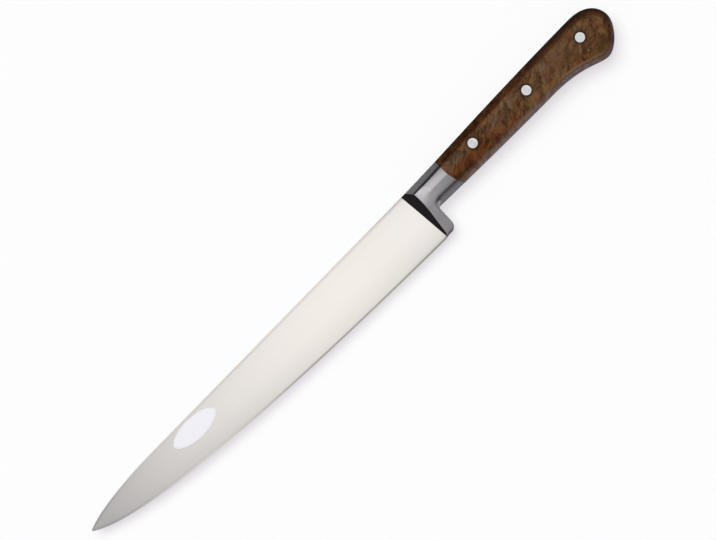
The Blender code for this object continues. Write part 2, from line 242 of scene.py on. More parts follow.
# Studio, in metres
CEILING = 0.25
CEILING_REACH = ((-0.45, -0.43), (0.45, 0.43))
CEILING_STRENGTH = 1.75
ARCH_RADIUS = 0.15
ARCH_REACH = (0.028, 0.092)
ARCH_LIFT = 0.004
ARCH_SIDES = 60
FLOOR_REACH = ((-6.0, -6.0), (6.0, 6.0))
FLOOR_GLOW = 0.65
FLOOR_WHITE = (0.965, 1.0, 0.965)
FLOOR_LIGHT = (1.0, 0.975, 1.0)
FLOOR_IN_METAL = (1.0, 0.95, 1.0)
FLOOR_IN_METAL_STRENGTH = 0.38
FILL_LIGHT = (0.27, 0.19, 0.275)
ROOM_PALE = (0.72, 0.72, 0.73)
ROOM_DARK = (0.18, 0.18, 0.185)
DARK_AHEAD = (-0.86, -0.66)
DARK_UP = (0.45, 0.65)
KEY_LIGHT = (1.0, 1.085, 1.0)
KEY_STRENGTH = 0.80
KEY_BREADTH = math.radians(40.0)
KEY_TILT = math.radians(-22.0)

# The glow of the ceiling and the arch, in millimetres from the origin, and the ramps' span
RAMP_SPAN = 900.0
ALONG_CEILING = (
    (-430, (0.45, 0.45, 0.46)),
    (-300, (0.30, 0.30, 0.31)),
    (-250, (0.26, 0.263, 0.27)),
    (-170, (0.29, 0.293, 0.30)),
    (-150, (0.41, 0.41, 0.416)),
    (-140, (0.505, 0.502, 0.502)),
    (-125, (0.585, 0.574, 0.568)),
    (-106, (0.655, 0.652, 0.646)),
    (-97, (0.64, 0.634, 0.626)),
    (-82, (0.658, 0.646, 0.632)),
    (-60, (0.74, 0.727, 0.707)),
    (-20, (0.782, 0.764, 0.733)),
    (-8, (0.765, 0.752, 0.705)),
    (2, (0.745, 0.735, 0.682)),
    (9, (0.712, 0.709, 0.664)),
    (18, (0.755, 0.748, 0.708)),
    (28, (0.785, 0.772, 0.748)),
    (37, (0.835, 0.82, 0.80)),
    (43, (0.90, 0.885, 0.89)),
    (47, (1.0, 0.98, 1.0)),
    (51, (1.0, 0.98, 1.0)),
    (55, (0.76, 0.755, 0.755)),
    (62, (0.64, 0.645, 0.635)),
    (80, (0.575, 0.575, 0.575)),
    (160, (0.55, 0.55, 0.55)),
    (430, (0.30, 0.30, 0.30)),
)
FROM_MIDDLE = ((0, 1.0), (40, 0.98), (76, 0.88), (127, 0.78), (250, 0.62), (430, 0.55))
ACROSS_CEILING = (*((-y, level) for y, level in FROM_MIDDLE[:0:-1]), *FROM_MIDDLE)
ACROSS_ARCH = (
    (-150, 0.26),
    (-147.7, 0.17),
    (-141, 0.08),
    (-136, 0.07),
    (-130, 0.10),
    (-118, 0.13),
    (-106, 0.20),
    (-90, 0.42),
    (-80, 0.41),
    (-70, 0.38),
    (-52, 0.58),
    (-30, 0.92),
    (0, 1.0),
    (22, 0.90),
    (28.6, 0.58),
    (36, 0.08),
    (44, 0.025),
    (130, 0.02),
    (136, 0.07),
    (148, 0.20),
    (150, 0.30),
)


def arithmetic(operation, swapped=False):
    """A method that adds a Math node for a signal and what stands beside it."""
    if swapped:
        return lambda self, other: self.recipe.math(operation, other, self)
    return lambda self, other: self.recipe.math(operation, self, other)


class Signal:
    """An output socket. Arithmetic on it adds Math nodes to its recipe."""

    def __init__(self, recipe, socket):
        self.recipe = recipe
        self.socket = socket

    __add__ = arithmetic("ADD")
    __radd__ = arithmetic("ADD", swapped=True)
    __sub__ = arithmetic("SUBTRACT")
    __rsub__ = arithmetic("SUBTRACT", swapped=True)
    __mul__ = arithmetic("MULTIPLY")
    __truediv__ = arithmetic("DIVIDE")

    def between(self, low, high):
        """Rises smoothly from 0 at the low value to 1 at the high one."""
        settings = {"interpolation_type": "SMOOTHSTEP"}
        inputs = {"Value": self, "From Min": low, "From Max": high, "To Min": 0.0, "To Max": 1.0}
        return self.recipe.node("ShaderNodeMapRange", settings, inputs)


class Recipe:
    """A node tree written as expressions."""

    def __init__(self, tree):
        self.tree = tree

    def feed(self, socket, value):
        """Links a signal to a socket, or writes a plain value into it."""
        if isinstance(value, Signal):
            self.tree.links.new(value.socket, socket)
        elif socket.type == "RGBA" and len(value) == 3:
            socket.default_value = (*value, 1.0)
        else:
            socket.default_value = value

    def node(self, kind, settings=None, inputs=None, output=0):
        """Adds a node: its settings first, then its sockets. Gives back the output asked for."""
        made = self.tree.nodes.new(kind)
        for name, value in (settings or {}).items():
            setattr(made, name, value)
        for name, value in (inputs or {}).items():
            self.feed(made.inputs[name], value)
        return Signal(self, made.outputs[output])

    def outputs(self, kind, names, inputs=None):
        """Adds a node and gives back several of its outputs."""
        made = self.node(kind, {}, inputs).socket.node
        return [Signal(self, made.outputs[name]) for name in names]

    def math(self, operation, first, second):
        return self.node("ShaderNodeMath", {"operation": operation}, {0: first, 1: second})

    def mix(self, factor, first, second, blend="MIX"):
        """A colour between two colours."""
        settings = {"data_type": "RGBA", "blend_type": blend}
        return self.node("ShaderNodeMix", settings, {0: factor, 6: first, 7: second}, 2)

    def ramp(self, stops, value):
        """A colour read off (place, colour) stops."""
        made = self.node("ShaderNodeValToRGB", {}, {0: value})
        elements = made.socket.node.color_ramp.elements
        while len(elements) > 1:
            elements.remove(elements[0])
        elements[0].position = stops[0][0]
        elements[0].color = (*stops[0][1], 1.0)
        for position, colour in stops[1:]:
            elements.new(position).color = (*colour, 1.0)
        return made

    def glow(self, colour, strength=1.0):
        """A surface that shines by itself."""
        return self.node("ShaderNodeEmission", {}, {"Color": colour, "Strength": strength})

    def vector(self, operation, *values, output=0):
        """Vector arithmetic."""
        settings = {"operation": operation}
        return self.node("ShaderNodeVectorMath", settings, dict(enumerate(values)), output)

    def place(self, stretch=(1.0, 1.0, 1.0), turn=0.0):
        """The point on the piece in the knife's millimetres, stretched, then turned about the
        thickness axis."""
        spot = self.node("ShaderNodeTexCoord", {}, {}, "Object")
        inputs = {"Vector": spot, "Scale": (1 / MM, 1 / MM, 1 / MM), "Location": tuple(-DATUM_PLACE)}
        spot = self.node("ShaderNodeMapping", {}, inputs)
        inputs = {"Vector": spot, "Scale": stretch, "Rotation": (0.0, 0.0, turn)}
        return self.node("ShaderNodeMapping", {}, inputs)

    def inside(self, where, reach, turn, middle=(0.0, 0.0, 0.0)):
        """The point as a patch of that middle, turn in degrees and reach sees it, in reaches."""
        inputs = {"Vector": where, "Location": middle, "Scale": reach}
        inputs["Rotation"] = (0.0, 0.0, math.radians(turn))
        return self.node("ShaderNodeMapping", {"vector_type": "TEXTURE"}, inputs)

    def noise(self, where, scale, detail=3.0, roughness=0.5, output=0):
        inputs = {"Vector": where, "Scale": scale, "Detail": detail, "Roughness": roughness}
        return self.node("ShaderNodeTexNoise", {}, inputs, output)

    def attribute(self, name):
        """A number kept at the points of the mesh."""
        settings = {"attribute_type": "GEOMETRY", "attribute_name": name}
        return self.node("ShaderNodeAttribute", settings, {}, "Fac")

    def coat(self, shader, colour, roughness, relief):
        """Feeds a shader its colour, its roughness and its relief, which is a height, a strength
        and a depth in metres."""
        inputs = dict(zip(("Height", "Strength", "Distance"), relief))
        self.feed(shader.inputs["Base Color"], colour)
        self.feed(shader.inputs["Roughness"], roughness)
        self.feed(shader.inputs["Normal"], self.node("ShaderNodeBump", {}, inputs))


def new_object(name, data):
    """An object in the scene."""
    made = bpy.data.objects.new(name, data)
    bpy.context.scene.collection.objects.link(made)
    return made


def new_finish(name, **plain):
    """A material, its recipe and its shader, with the sockets that are the same all over."""
    material = bpy.data.materials.new(name)
    material.use_nodes = True
    shader = material.node_tree.nodes["Principled BSDF"]
    for socket, value in plain.items():
        shader.inputs[socket.replace("_", " ")].default_value = value
    return material, Recipe(material.node_tree), shader


def aim_camera():
    """The camera looks straight down, turned so that the knife lies across the picture."""
    lens = bpy.data.cameras.new("camera")
    lens.sensor_width = SENSOR_WIDTH
    lens.lens = SENSOR_WIDTH * CAMERA_DISTANCE / FRAME_WIDTH
    lens.clip_start = NEAREST_SEEN
    camera = new_object("camera", lens)
    camera.location = CAMERA_TARGET + (0.0, 0.0, CAMERA_DISTANCE)
    camera.rotation_euler = (0.0, 0.0, -CAMERA_TURN)
    bpy.context.scene.camera = camera


def bezier(start, leave, arrive, end, count):
    """Points on one cubic curve from start to end, drawn by its two handles."""
    t = np.linspace(0.0, 1.0, count)[:, None]
    weights = ((1 - t) ** 3, 3 * (1 - t) ** 2 * t, 3 * (1 - t) * t**2, t**3)
    return sum(w * np.array(p) for w, p in zip(weights, (start, leave, arrive, end)))


def smooth_step(value):
    """3v^2 - 2v^3 on 0 to 1, level outside."""
    value = np.clip(value, 0.0, 1.0)
    return value * value * (3 - 2 * value)


def rise(value, start, length):
    """0 up to the start, then smoothly up to 1 over the length."""
    return smooth_step((value - start) / length)


def quarter_round(share):
    """A quarter circle over the share of its width: the root of 1 - (1 - share)^2."""
    return np.sqrt(1 - (1 - share) ** 2)


def blunt_round(share):
    """A quarter ellipse that starts at the blunt share of its height instead of at 0."""
    return BLUNT + (1 - BLUNT) * quarter_round(share)


def round_rows(count):
    """Shares of a rim's width at which a quarter circle turns by equal steps."""
    return 1 - np.cos(np.linspace(0.0, math.pi / 2, count))


def smooth_min(first, second, reach):
    """The lower of two heights, with the crease between them rounded over the reach: where they
    differ by less than it, reach / 4 times the square of what is left is taken off."""
    left = np.maximum(reach - np.abs(first - second), 0.0) / reach
    return np.minimum(first, second) - left * left * reach / 4


def spine_height(x):
    """The blade's upper outline: y = 0, then a cubic that falls to the tip."""
    tip = -BLADE_LENGTH
    top = -TIP_DEPTH + TIP_WIDTH / 2
    along, up = SPINE_DROP_LEAVE
    leave = (tip + along * SPINE_DROP_LENGTH, top + up * SPINE_DROP_LENGTH)
    arrive = (tip + SPINE_DROP_ARRIVE * SPINE_DROP_LENGTH, 0.0)
    drop = bezier((tip, top), leave, arrive, (tip + SPINE_DROP_LENGTH, 0.0), CURVE_POINTS)
    return np.interp(x, drop[:, 0], drop[:, 1])


def edge_height(x):
    """The cutting edge: one cubic from the tip to the heel, then a slight rise."""
    tip = -BLADE_LENGTH
    low = -TIP_DEPTH - TIP_WIDTH / 2
    leave = (tip + EDGE_LEAVE[0] * BLADE_LENGTH, low - EDGE_LEAVE[1] * BLADE_DEPTH)
    arrive = (-EDGE_ARRIVE[0] * BLADE_LENGTH, -EDGE_ARRIVE[1] * BLADE_DEPTH)
    sweep = bezier((tip, low), leave, arrive, (0.0, -BLADE_DEPTH), 2 * CURVE_POINTS)
    return np.interp(x, sweep[:, 0], sweep[:, 1]) + HEEL_RISE * np.maximum(x, 0.0)


def blade_half(x, y):
    """Half the blade's thickness: edge half + grind times the height above the edge, swollen a
    little halfway up by 4s(1 - s) times the swell, where s is the share of the height."""
    edge = edge_height(x)
    height = spine_height(x) - edge
    share = np.clip((y - edge) / height, 0.0, 1.0)
    swell = BELLY_OF_GRIND * height / BLADE_DEPTH * 4 * share * (1 - share)
    return EDGE_HALF + GRIND * (y - edge) + swell


def loft(rings, caps=(True, True)):
    """Faces over a row of closed rings, which are the first axis of the array."""
    rows, sides = rings.shape[:2]
    grid = np.arange(rows * sides).reshape(rows, sides)
    after = np.roll(grid, -1, axis=1)
    faces = np.stack([grid[:-1], after[:-1], after[1:], grid[1:]], axis=-1).reshape(-1, 4).tolist()
    if caps[0]:
        faces.append(grid[0, ::-1].tolist())
    if caps[1]:
        faces.append(grid[-1].tolist())
    return rings.reshape(-1, 3), faces


def closed_slab(spots, top, bottom, caps=(True, False)):
    """A closed shape between two heights over a grid: each column becomes a ring."""
    upper = np.dstack([spots, top])
    lower = np.dstack([spots, bottom])[:, ::-1]
    return loft(np.concatenate([upper, lower], axis=1), caps)


def both_ways(marks):
    """A slab's marks for its rings, which run over the top and back underneath."""
    return np.concatenate([marks, marks[:, ::-1]], axis=1)


def closed_mesh(name, points, faces, marks=None):
    """A mesh from points in millimetres round the datum. Coinciding points are merged, and faces
    are turned outwards. Marks are numbers kept at the points."""
    mesh = bpy.data.meshes.new(name)
    mesh.from_pydata((points + DATUM_PLACE) * MM, [], faces)
    for mark, values in (marks or {}).items():
        mesh.attributes.new(mark, "FLOAT", "POINT").data.foreach_set("value", values.ravel())
    work = bmesh.new()
    work.from_mesh(mesh)
    bmesh.ops.remove_doubles(work, verts=work.verts, dist=SAME_POINT)
    bmesh.ops.dissolve_degenerate(work, dist=NO_LENGTH, edges=work.edges)
    bmesh.ops.recalc_face_normals(work, faces=work.faces)
    work.to_mesh(mesh)
    work.free()
    return mesh


def smooth(mesh, crisp):
    """Smooths a mesh, except for the edges that are sharper than the crisp angle."""
    mesh.shade_smooth()
    mesh.set_sharp_from_angle(angle=crisp)


def add_piece(name, surface, material, node, crisp=CRISP_ANGLE):
    """Shows a surface, which is its points, faces and marks, in place of a CAD node."""
    mesh = closed_mesh(name, *surface)
    mesh.materials.append(material)
    smooth(mesh, crisp)
    piece = new_object(name, mesh)
    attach(piece, "root")
    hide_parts(node)
    return piece


def blade_surface():
    """The ground blade. Along x, sections stand closer near the tip. In each section y runs from
    the edge to the spine and back, and z is half the thickness: a straight micro bevel up to the
    ground face, the ground face, then a quarter circle that eases the spine."""
    along = np.linspace(0.0, 1.0, BLADE_SECTIONS) ** TIP_CROWDING
    x = np.concatenate([-BLADE_LENGTH * (1 - along), [1.0, 2.0, BLADE_ROOT]])[:, None]
    edge = edge_height(x)
    spine = spine_height(x)
    height = spine - edge
    bevel = np.minimum(EDGE_BEVEL, EDGE_BEVEL_LIMIT * height)
    ease = np.minimum(SPINE_EASE, SPINE_EASE_LIMIT * height)
    low = edge + bevel
    high = spine - ease
    turn = EASE_ROWS * math.pi / 2
    face_y = low + (high - low) * GROUND_ROWS
    face_z = blade_half(x, face_y)
    bevel_z = APEX_THICKNESS / 2 + (face_z[:, :1] - APEX_THICKNESS / 2) * BEVEL_ROWS
    bevel_y = edge + bevel * BEVEL_ROWS
    ease_y = high + ease * np.sin(turn)
    ease_z = face_z[:, -1:] - ease * (1 - np.cos(turn))
    y = np.concatenate([bevel_y, face_y, ease_y], axis=1)
    z = np.concatenate([bevel_z, face_z, ease_z], axis=1)
    spots = np.dstack([np.broadcast_to(x, y.shape), y])
    points, faces = closed_slab(spots, z, -z, caps=(True, True))
    return points, faces, {"above_edge": both_ways(y - edge), "below_spine": both_ways(spine - y)}


def handle_outline():
    """The handle seen from the side, as one open line: cubics from the neck's belly by the waist,
    the hook, the butt and the crown to the neck's spine."""
    waist = (HANDLE_LENGTH - WAIST_FROM_BUTT, -WAIST_DEPTH)
    hook = (HANDLE_LENGTH - HOOK_FROM_BUTT, -HOOK_DEPTH)
    end = (HANDLE_LENGTH, -BUTT_DEPTH)
    crown = (HANDLE_LENGTH - CROWN_FROM_BUTT, CROWN_RISE)
    belly = bezier(
        (BLANK_FRONT, -NECK_DEPTH),
        (BLANK_FRONT + BELLY_HOLD[0] * waist[0], -NECK_DEPTH - NECK_FALL),
        (BELLY_HOLD[1] * waist[0], -WAIST_DEPTH),
        waist,
        CURVE_POINTS,
    )
    sweep = bezier(
        waist,
        (waist[0] + SWEEP_HOLD[0] * (hook[0] - waist[0]), -WAIST_DEPTH),
        (hook[0] - SWEEP_HOLD[1] * HOOK_FROM_BUTT, -HOOK_DEPTH),
        hook,
        BUTT_POINTS,
    )
    hook_back = bezier(
        hook,
        (hook[0] + HOOK_HOLD * HOOK_FROM_BUTT, -HOOK_DEPTH),
        (HANDLE_LENGTH, -BUTT_DEPTH - HOOK_HOLD * (HOOK_DEPTH - BUTT_DEPTH)),
        end,
        BUTT_POINTS,
    )
    crown_back = bezier(
        end,
        (HANDLE_LENGTH, -BUTT_DEPTH + CROWN_HOLD[0] * (BUTT_DEPTH + CROWN_RISE)),
        (crown[0] + CROWN_HOLD[1] * CROWN_FROM_BUTT, CROWN_RISE),
        crown,
        BUTT_POINTS,
    )
    spine = bezier(
        crown,
        (SPINE_HOLD[0] * crown[0], CROWN_RISE),
        (SPINE_HOLD[1] * crown[0], 0.0),
        (BLANK_FRONT, 0.0),
        CURVE_POINTS,
    )
    return np.concatenate([belly, sweep[1:], hook_back[1:], crown_back[1:], spine[1:]])


OUTLINE = handle_outline()
NECK_BELLY = OUTLINE[:NECK_POINTS]
NECK_SPINE = OUTLINE[::-1][:NECK_POINTS]


def belly_height(x):
    """The neck's lower outline."""
    return np.interp(x, NECK_BELLY[:, 0], NECK_BELLY[:, 1])


def neck_spine_height(x):
    """The neck's upper outline."""
    return np.interp(x, NECK_SPINE[:, 0], NECK_SPINE[:, 1])


def spaced(line, count):
    """As many points at equal steps along a line."""
    run = np.concatenate([[0.0], np.cumsum(np.linalg.norm(np.diff(line, axis=0), axis=1))])
    wanted = np.linspace(0.0, run[-1], count)
    return np.stack([np.interp(wanted, run, line[:, 0]), np.interp(wanted, run, line[:, 1])], axis=1)


def unit(directions):
    """Directions at unit length."""
    return directions / np.linalg.norm(directions, axis=-1, keepdims=True)


def left_normals(line):
    """Unit normals on the left of an open line."""
    step = unit(np.gradient(line, axis=0))
    return np.stack([-step[:, 1], step[:, 0]], axis=1)


def junction_normals(normal, line, way):
    """Normals that turn, over the line's first few millimetres, into the junction's direction."""
    near = 1 - rise(line[:, 0], line[0, 0], JUNCTION_TURN)[:, None]
    across = unit(np.array([-JUNCTION_LEAN, 1.0]) * way)
    return unit(normal * (1 - near) + across * near)


def handle_grid(gap, rim_rows, steps):
    """Points over the handle behind the bolster, seen from the side. Column i joins the points
    that lie the same way along the outline from the junction, on the spine and on the belly; the
    last column is one point on the butt. Rim rows lie at shares of the rim's width inside the
    outline, and steps share out what is left. Each point has its share of the rim (0 on the
    outline, 1 and more inside), how round the rim is there (0 chamfer, 1 round), half the width
    of the flat strip outside it, how deep it lies inside the outline, and whether it faces the
    belly (0 or 1)."""
    front = BOLSTER_LENGTH + gap - JUNCTION_LEAN * OUTLINE[:, 1]
    line = spaced(OUTLINE[OUTLINE[:, 0] > front], 2 * HANDLE_COLUMNS - 1)
    normal = left_normals(line)
    round_share = smooth_step(1 + normal[:, 1])
    belly_share = np.clip(normal[:, 1], 0.0, 1.0)
    spine_share = np.clip(-normal[:, 1], 0.0, 1.0)
    width = BUTT_ROUND + (BELLY_ROUND - BUTT_ROUND) * belly_share
    width += (SPINE_CHAMFER - BUTT_ROUND) * spine_share
    strip = BUTT_FLAT_HALF + (BELLY_FLAT_HALF - BUTT_FLAT_HALF) * belly_share
    strip += (SPINE_FLAT_HALF - BUTT_FLAT_HALF) * spine_share
    sides = []
    for way, part in ((1, slice(0, HANDLE_COLUMNS)), (-1, slice(None, HANDLE_COLUMNS - 2, -1))):
        start = line[part].copy()
        start[0, 0] = BOLSTER_LENGTH + gap - JUNCTION_LEAN * start[0, 1]
        inward = junction_normals(normal[part], start, way)
        inset = rim_rows[None, :, None] * width[part][:, None, None]
        spots = start[:, None, :] + inward[:, None, :] * inset
        columnwise = [kind[part][:, None] for kind in (round_share, strip, belly_share)]
        sides.append((spots, *(np.broadcast_to(kind, spots.shape[:2]) for kind in columnwise)))
    belly, spine = sides
    share = np.linspace(0.0, 1.0, steps + 1)[None, 1:-1, None]
    inner = spine[0][:, -1:, :] * (1 - share) + belly[0][:, -1:, :] * share
    spots = np.concatenate([spine[0], inner, belly[0][:, ::-1]], axis=1)
    blank = np.ones(inner.shape[:2])
    joined = [np.concatenate([s, blank, b[:, ::-1]], axis=1) for s, b in zip(spine[1:], belly[1:])]
    rim = np.concatenate([rim_rows, np.full(steps - 1, FAR_INSIDE), rim_rows[::-1]])
    return SimpleNamespace(
        spots=bend_junction(spots),
        rim=np.broadcast_to(rim, blank.shape[:1] + rim.shape),
        roundness=joined[0],
        strip=joined[1],
        under=joined[2],
        distance=rim_distance(spots, line),
    )


def bend_junction(spots):
    """Moves points near the junction along x, so that its straight line becomes one that runs
    straight down from the spine, then bends away from the blade by the bend times the square of
    the depth below where it begins. The push fades out on both sides."""
    x, y = spots[..., 0], spots[..., 1]
    straight = BOLSTER_LENGTH - JUNCTION_LEAN * y
    bent = JUNCTION_TOP + JUNCTION_BEND * np.maximum(JUNCTION_BEND_FROM - y, 0.0) ** 2
    near = 1 - rise(np.abs(x - straight), 0.0, JUNCTION_BEND_REACH)
    return np.stack([x + (bent - straight) * near, y], axis=-1)


def rim_distance(spots, line):
    """How deep each point lies inside the outline, worked out in batches."""
    flat = spots.reshape(-1, 1, 2)
    nearest = np.empty(len(flat))
    for start in range(0, len(flat), BATCH):
        gap = flat[start : start + BATCH] - line[None]
        nearest[start : start + BATCH] = np.sqrt((gap**2).sum(axis=2)).min(axis=1)
    return nearest.reshape(spots.shape[:2])


def face_height(x, y):
    """Height of the ground sides: level, then a long facet that falls towards the belly. The
    facet's crease is a parabola, and its slope is full near the bolster and dies out along the
    handle. Another parabola crowns the spine's side."""
    depth = np.maximum(FACET_TOP - y, 0.0)
    soft = FACET_SOFTNESS
    ramp = np.where(depth < soft, depth * depth / (2 * soft), depth - soft / 2)
    slope = FACET_SLOPE * (1 - rise(x, *FACET_FADE))
    crown = FACE_CROWN * np.maximum(y - FACE_CROWN_FROM, 0.0) ** 2
    return HANDLE_HALF - slope * np.minimum(ramp, FACET_DEPTH) - crown


def underside_drop(distance):
    """How far the neck's underside falls below the facet. The extra slope is full next to the
    outline and dies out further in: with t the share of the way between, it is 1 - 3t^2 + 2t^3
    of the full slope. This is its sum from the outside of the curve inwards."""
    reach = UNDERSIDE_FROM - UNDERSIDE_FULL
    t = np.clip((distance - UNDERSIDE_FULL) / reach, 0.0, 1.0)
    curve = reach * (0.5 - t + t**3 - t**4 / 2)
    return UNDERSIDE_SLOPE * (curve + np.maximum(UNDERSIDE_FULL - distance, 0.0))


def handle_top(grid):
    """Height of the ground handle, from half the flat strip's width up to the face. On the spine
    the rim is a straight chamfer whose upper crease is rounded, on the belly and butt a quarter
    ellipse. The face falls a little next to the outline, by a parabola. Near the bolster the
    belly follows the neck's underside."""
    x, y = grid.spots[..., 0], grid.spots[..., 1]
    ground = face_height(x, y)
    face = ground - RIM_FALL * (1 - np.minimum(grid.distance / RIM_FALL_WIDTH, 1.0)) ** 2
    chamfer = smooth_min(grid.strip + (HANDLE_HALF - grid.strip) * grid.rim, face, CHAMFER_CREASE)
    ellipse = grid.strip + (face - grid.strip) * quarter_round(np.clip(grid.rim, 0.0, 1.0))
    near = 1 - rise(x, *UNDERSIDE_FADE)
    ellipse = ellipse * (1 - near) + (ground - underside_drop(grid.distance)) * near
    return chamfer * (1 - grid.roundness) + ellipse * grid.roundness


def scale_surface(side):
    """One wooden half: the ground handle's shape above a flat inner face. Marks tell how near the
    outline a point lies and whether it faces the belly."""
    rows = np.concatenate([round_rows(ROUND_ROWS), CHAMFER_ROWS])
    grid = handle_grid(WOOD_GAP, rows, WOOD_STEPS)
    top = handle_top(grid)
    points, faces = closed_slab(grid.spots, top, np.full(top.shape, TANG_HALF + GLUE))
    near_edge = np.clip(EDGE_MARK - grid.rim, 0.0, EDGE_MARK)
    marks = {"edge": both_ways(near_edge), "under": both_ways(grid.under)}
    return points * (1, 1, side), faces, marks


def tang_surface():
    """The steel between the wooden halves: a plate of the handle's outline, its edges eased by a
    quarter circle."""
    grid = handle_grid(-TANG_OVERLAP, TANG_ROWS, TANG_STEPS)
    ease = TANG_EASE * (1 - quarter_round(np.clip(grid.distance / TANG_EASE, 0.0, 1.0)))
    top = TANG_HALF - ease
    return closed_slab(grid.spots, top, -top)


def bolster_lower_path():
    """The bolster's lower outline from the shoulder: the heel's bottom, its rounded rear corner,
    its leaning rear edge and the fillet below the neck; then the neck's belly to the junction."""
    toe = HEEL_LIFT - BLADE_DEPTH
    start = SHOULDER_START - toe * SHOULDER_LEAN + HEEL_TOE_HALF / SHOULDER_SLOPE
    turn = np.linspace(0.0, math.pi / 2, ARC_POINTS)[:, None]
    under = belly_height(HEEL_LENGTH + HEEL_FILLET)
    corner = np.array([HEEL_LENGTH - HEEL_CORNER, toe + HEEL_CORNER])
    corner = corner + HEEL_CORNER * np.hstack([np.sin(turn), -np.cos(turn)])
    fillet = np.array([HEEL_LENGTH + HEEL_FILLET, under - HEEL_FILLET])
    fillet = fillet + HEEL_FILLET * np.hstack([-np.cos(turn), np.sin(turn)])
    heel = np.concatenate([[(start, toe)], corner, fillet])
    heel[:, 0] += REAR_LEAN * (heel[:, 1] - under) * rise(heel[:, 0], start, REAR_LEAN_FADE)
    x = np.linspace(HEEL_LENGTH + HEEL_FILLET, PAST_JUNCTION, 2 * NECK_COLUMNS)
    neck = np.stack([x, belly_height(x)], axis=1)
    neck = neck[neck[:, 0] < BOLSTER_LENGTH - JUNCTION_LEAN * neck[:, 1]]
    last = np.array([[BOLSTER_LENGTH - JUNCTION_LEAN * neck[-1, 1], neck[-1, 1]]])
    neck = np.concatenate([neck, last])
    return np.concatenate([spaced(heel, HEEL_COLUMNS), spaced(neck, NECK_COLUMNS)[1:]])


def bolster_half(x, y):
    """Half the bolster's thickness before its edges are shaped. The neck has the handle's ground
    sides. The heel is a wedge, toe + slope times the height above it, rounded at its lowest by a
    quarter ellipse and blunted into the level face. Further back the neck takes over, above its
    belly only."""
    toe = HEEL_LIFT - BLADE_DEPTH
    wedge = HEEL_TOE_HALF + HEEL_SLOPE * np.maximum(y - toe, 0.0)
    wedge = wedge * blunt_round(np.clip((y - toe) / TOE_ROUND, 0.0, 1.0))
    heel = smooth_min(wedge, HANDLE_HALF, HEEL_SOFTNESS)
    back = rise(x, *NECK_ALONG) * rise(y, *NECK_UP)
    return face_height(x, y) * back + heel * (1 - back)


def spine_side(x, y):
    """Half the bolster's thickness with the chamfer along the spine, its upper crease rounded."""
    slope = (HANDLE_HALF - SPINE_FLAT_HALF) / SPINE_CHAMFER
    depth = np.maximum(neck_spine_height(x) - y, 0.0)
    return smooth_min(bolster_half(x, y), SPINE_FLAT_HALF + slope * depth, NECK_CREASE)


def shoulder_line(y):
    """Where the shoulder's plane starts, at the blade's middle plane."""
    return SHOULDER_START - y * SHOULDER_LEAN


def bolster_outlines():
    """The bolster's upper and lower outline, column by column from the shoulder to the junction,
    each with the directions that lead inwards. The last ones turn into the junction's own."""
    lower = bolster_lower_path()
    heel_x = np.linspace(UPPER_START, UPPER_SPLIT, HEEL_COLUMNS)
    neck_x = np.linspace(UPPER_SPLIT, BOLSTER_LENGTH, NECK_COLUMNS)
    upper_x = np.concatenate([heel_x, neck_x[1:]])
    upper = np.stack([upper_x, neck_spine_height(upper_x)], axis=1)
    turning = rise(np.arange(len(lower)), len(lower) - LAST_COLUMNS, LAST_COLUMNS - 1)[:, None]
    junction = np.array([-JUNCTION_LEAN, 1.0]) / math.hypot(JUNCTION_LEAN, 1.0)
    up = left_normals(lower)
    up[0] = (0.0, 1.0)
    up = unit(up * (1 - turning) + junction * turning)
    down = unit(np.array([0.0, -1.0]) * (1 - turning) - junction * turning)
    return upper, down, lower, up


def bolster_grid():
    """Points over the bolster, seen from the side, and their shares of the lower rim's width. Each
    column runs from the spine to the lower outline, and rows are close together at both rims."""
    upper, down, lower, up = bolster_outlines()
    widening = rise(np.arange(len(lower)), *RIM_WIDENING)
    rim_width = HEEL_EDGE_ROUND + (UNDERSIDE_FROM - HEEL_EDGE_ROUND) * widening
    low_rows = round_rows(LOW_ROWS)
    high = upper[:, None, :] + down[:, None, :] * HIGH_ROWS[None, :, None]
    low = lower[:, None, :] + up[:, None, :] * (low_rows[None, :, None] * rim_width[:, None, None])
    share = np.linspace(0.0, 1.0, BOLSTER_STEPS + 1)[None, 1:-1, None]
    inner = high[:, -1:, :] * (1 - share) + low[:, -1:, :] * share
    spots = np.concatenate([high, inner, low[:, ::-1]], axis=1)
    rim = np.ones(spots.shape[:2])
    rim[:, -LOW_ROWS:] = low_rows[::-1]
    return spots, rim


def add_shoulder(spots, rim):
    """Leads the first column along the shoulder's upper edge, x = start + lean + height / slope,
    and adds columns before it on the shoulder's plane, down to the inside of the blade."""
    y = spots[0, :, 1]
    full = spine_side(np.full(y.shape, SHOULDER_BACK), y)
    edge_x = shoulder_line(y) + full * blunt_round(rim[0]) / SHOULDER_SLOPE
    fade = 1 - rise(np.arange(len(spots)), 0, SHOULDER_COLUMNS)[:, None]
    spots[..., 0] += (edge_x - spots[0, :, 0])[None, :] * fade
    foot = edge_height(SHOULDER_FOOT) + FOOT_LIFT
    inside = INSIDE_BLADE * blade_half(SHOULDER_FOOT, np.maximum(y, foot))
    front_x = shoulder_line(y) + np.minimum(inside, INSIDE_HEEL * full) / SHOULDER_SLOPE
    steps = np.linspace(0.0, 1.0, SHOULDER_STEPS + 1)[:-1, None]
    plane_x = front_x * (1 - steps) + edge_x * steps
    plane = np.dstack([plane_x, np.broadcast_to(y, plane_x.shape)])
    plane_rim = np.broadcast_to(rim[:1], plane_x.shape)
    return np.concatenate([plane, spots]), np.concatenate([plane_rim, rim])


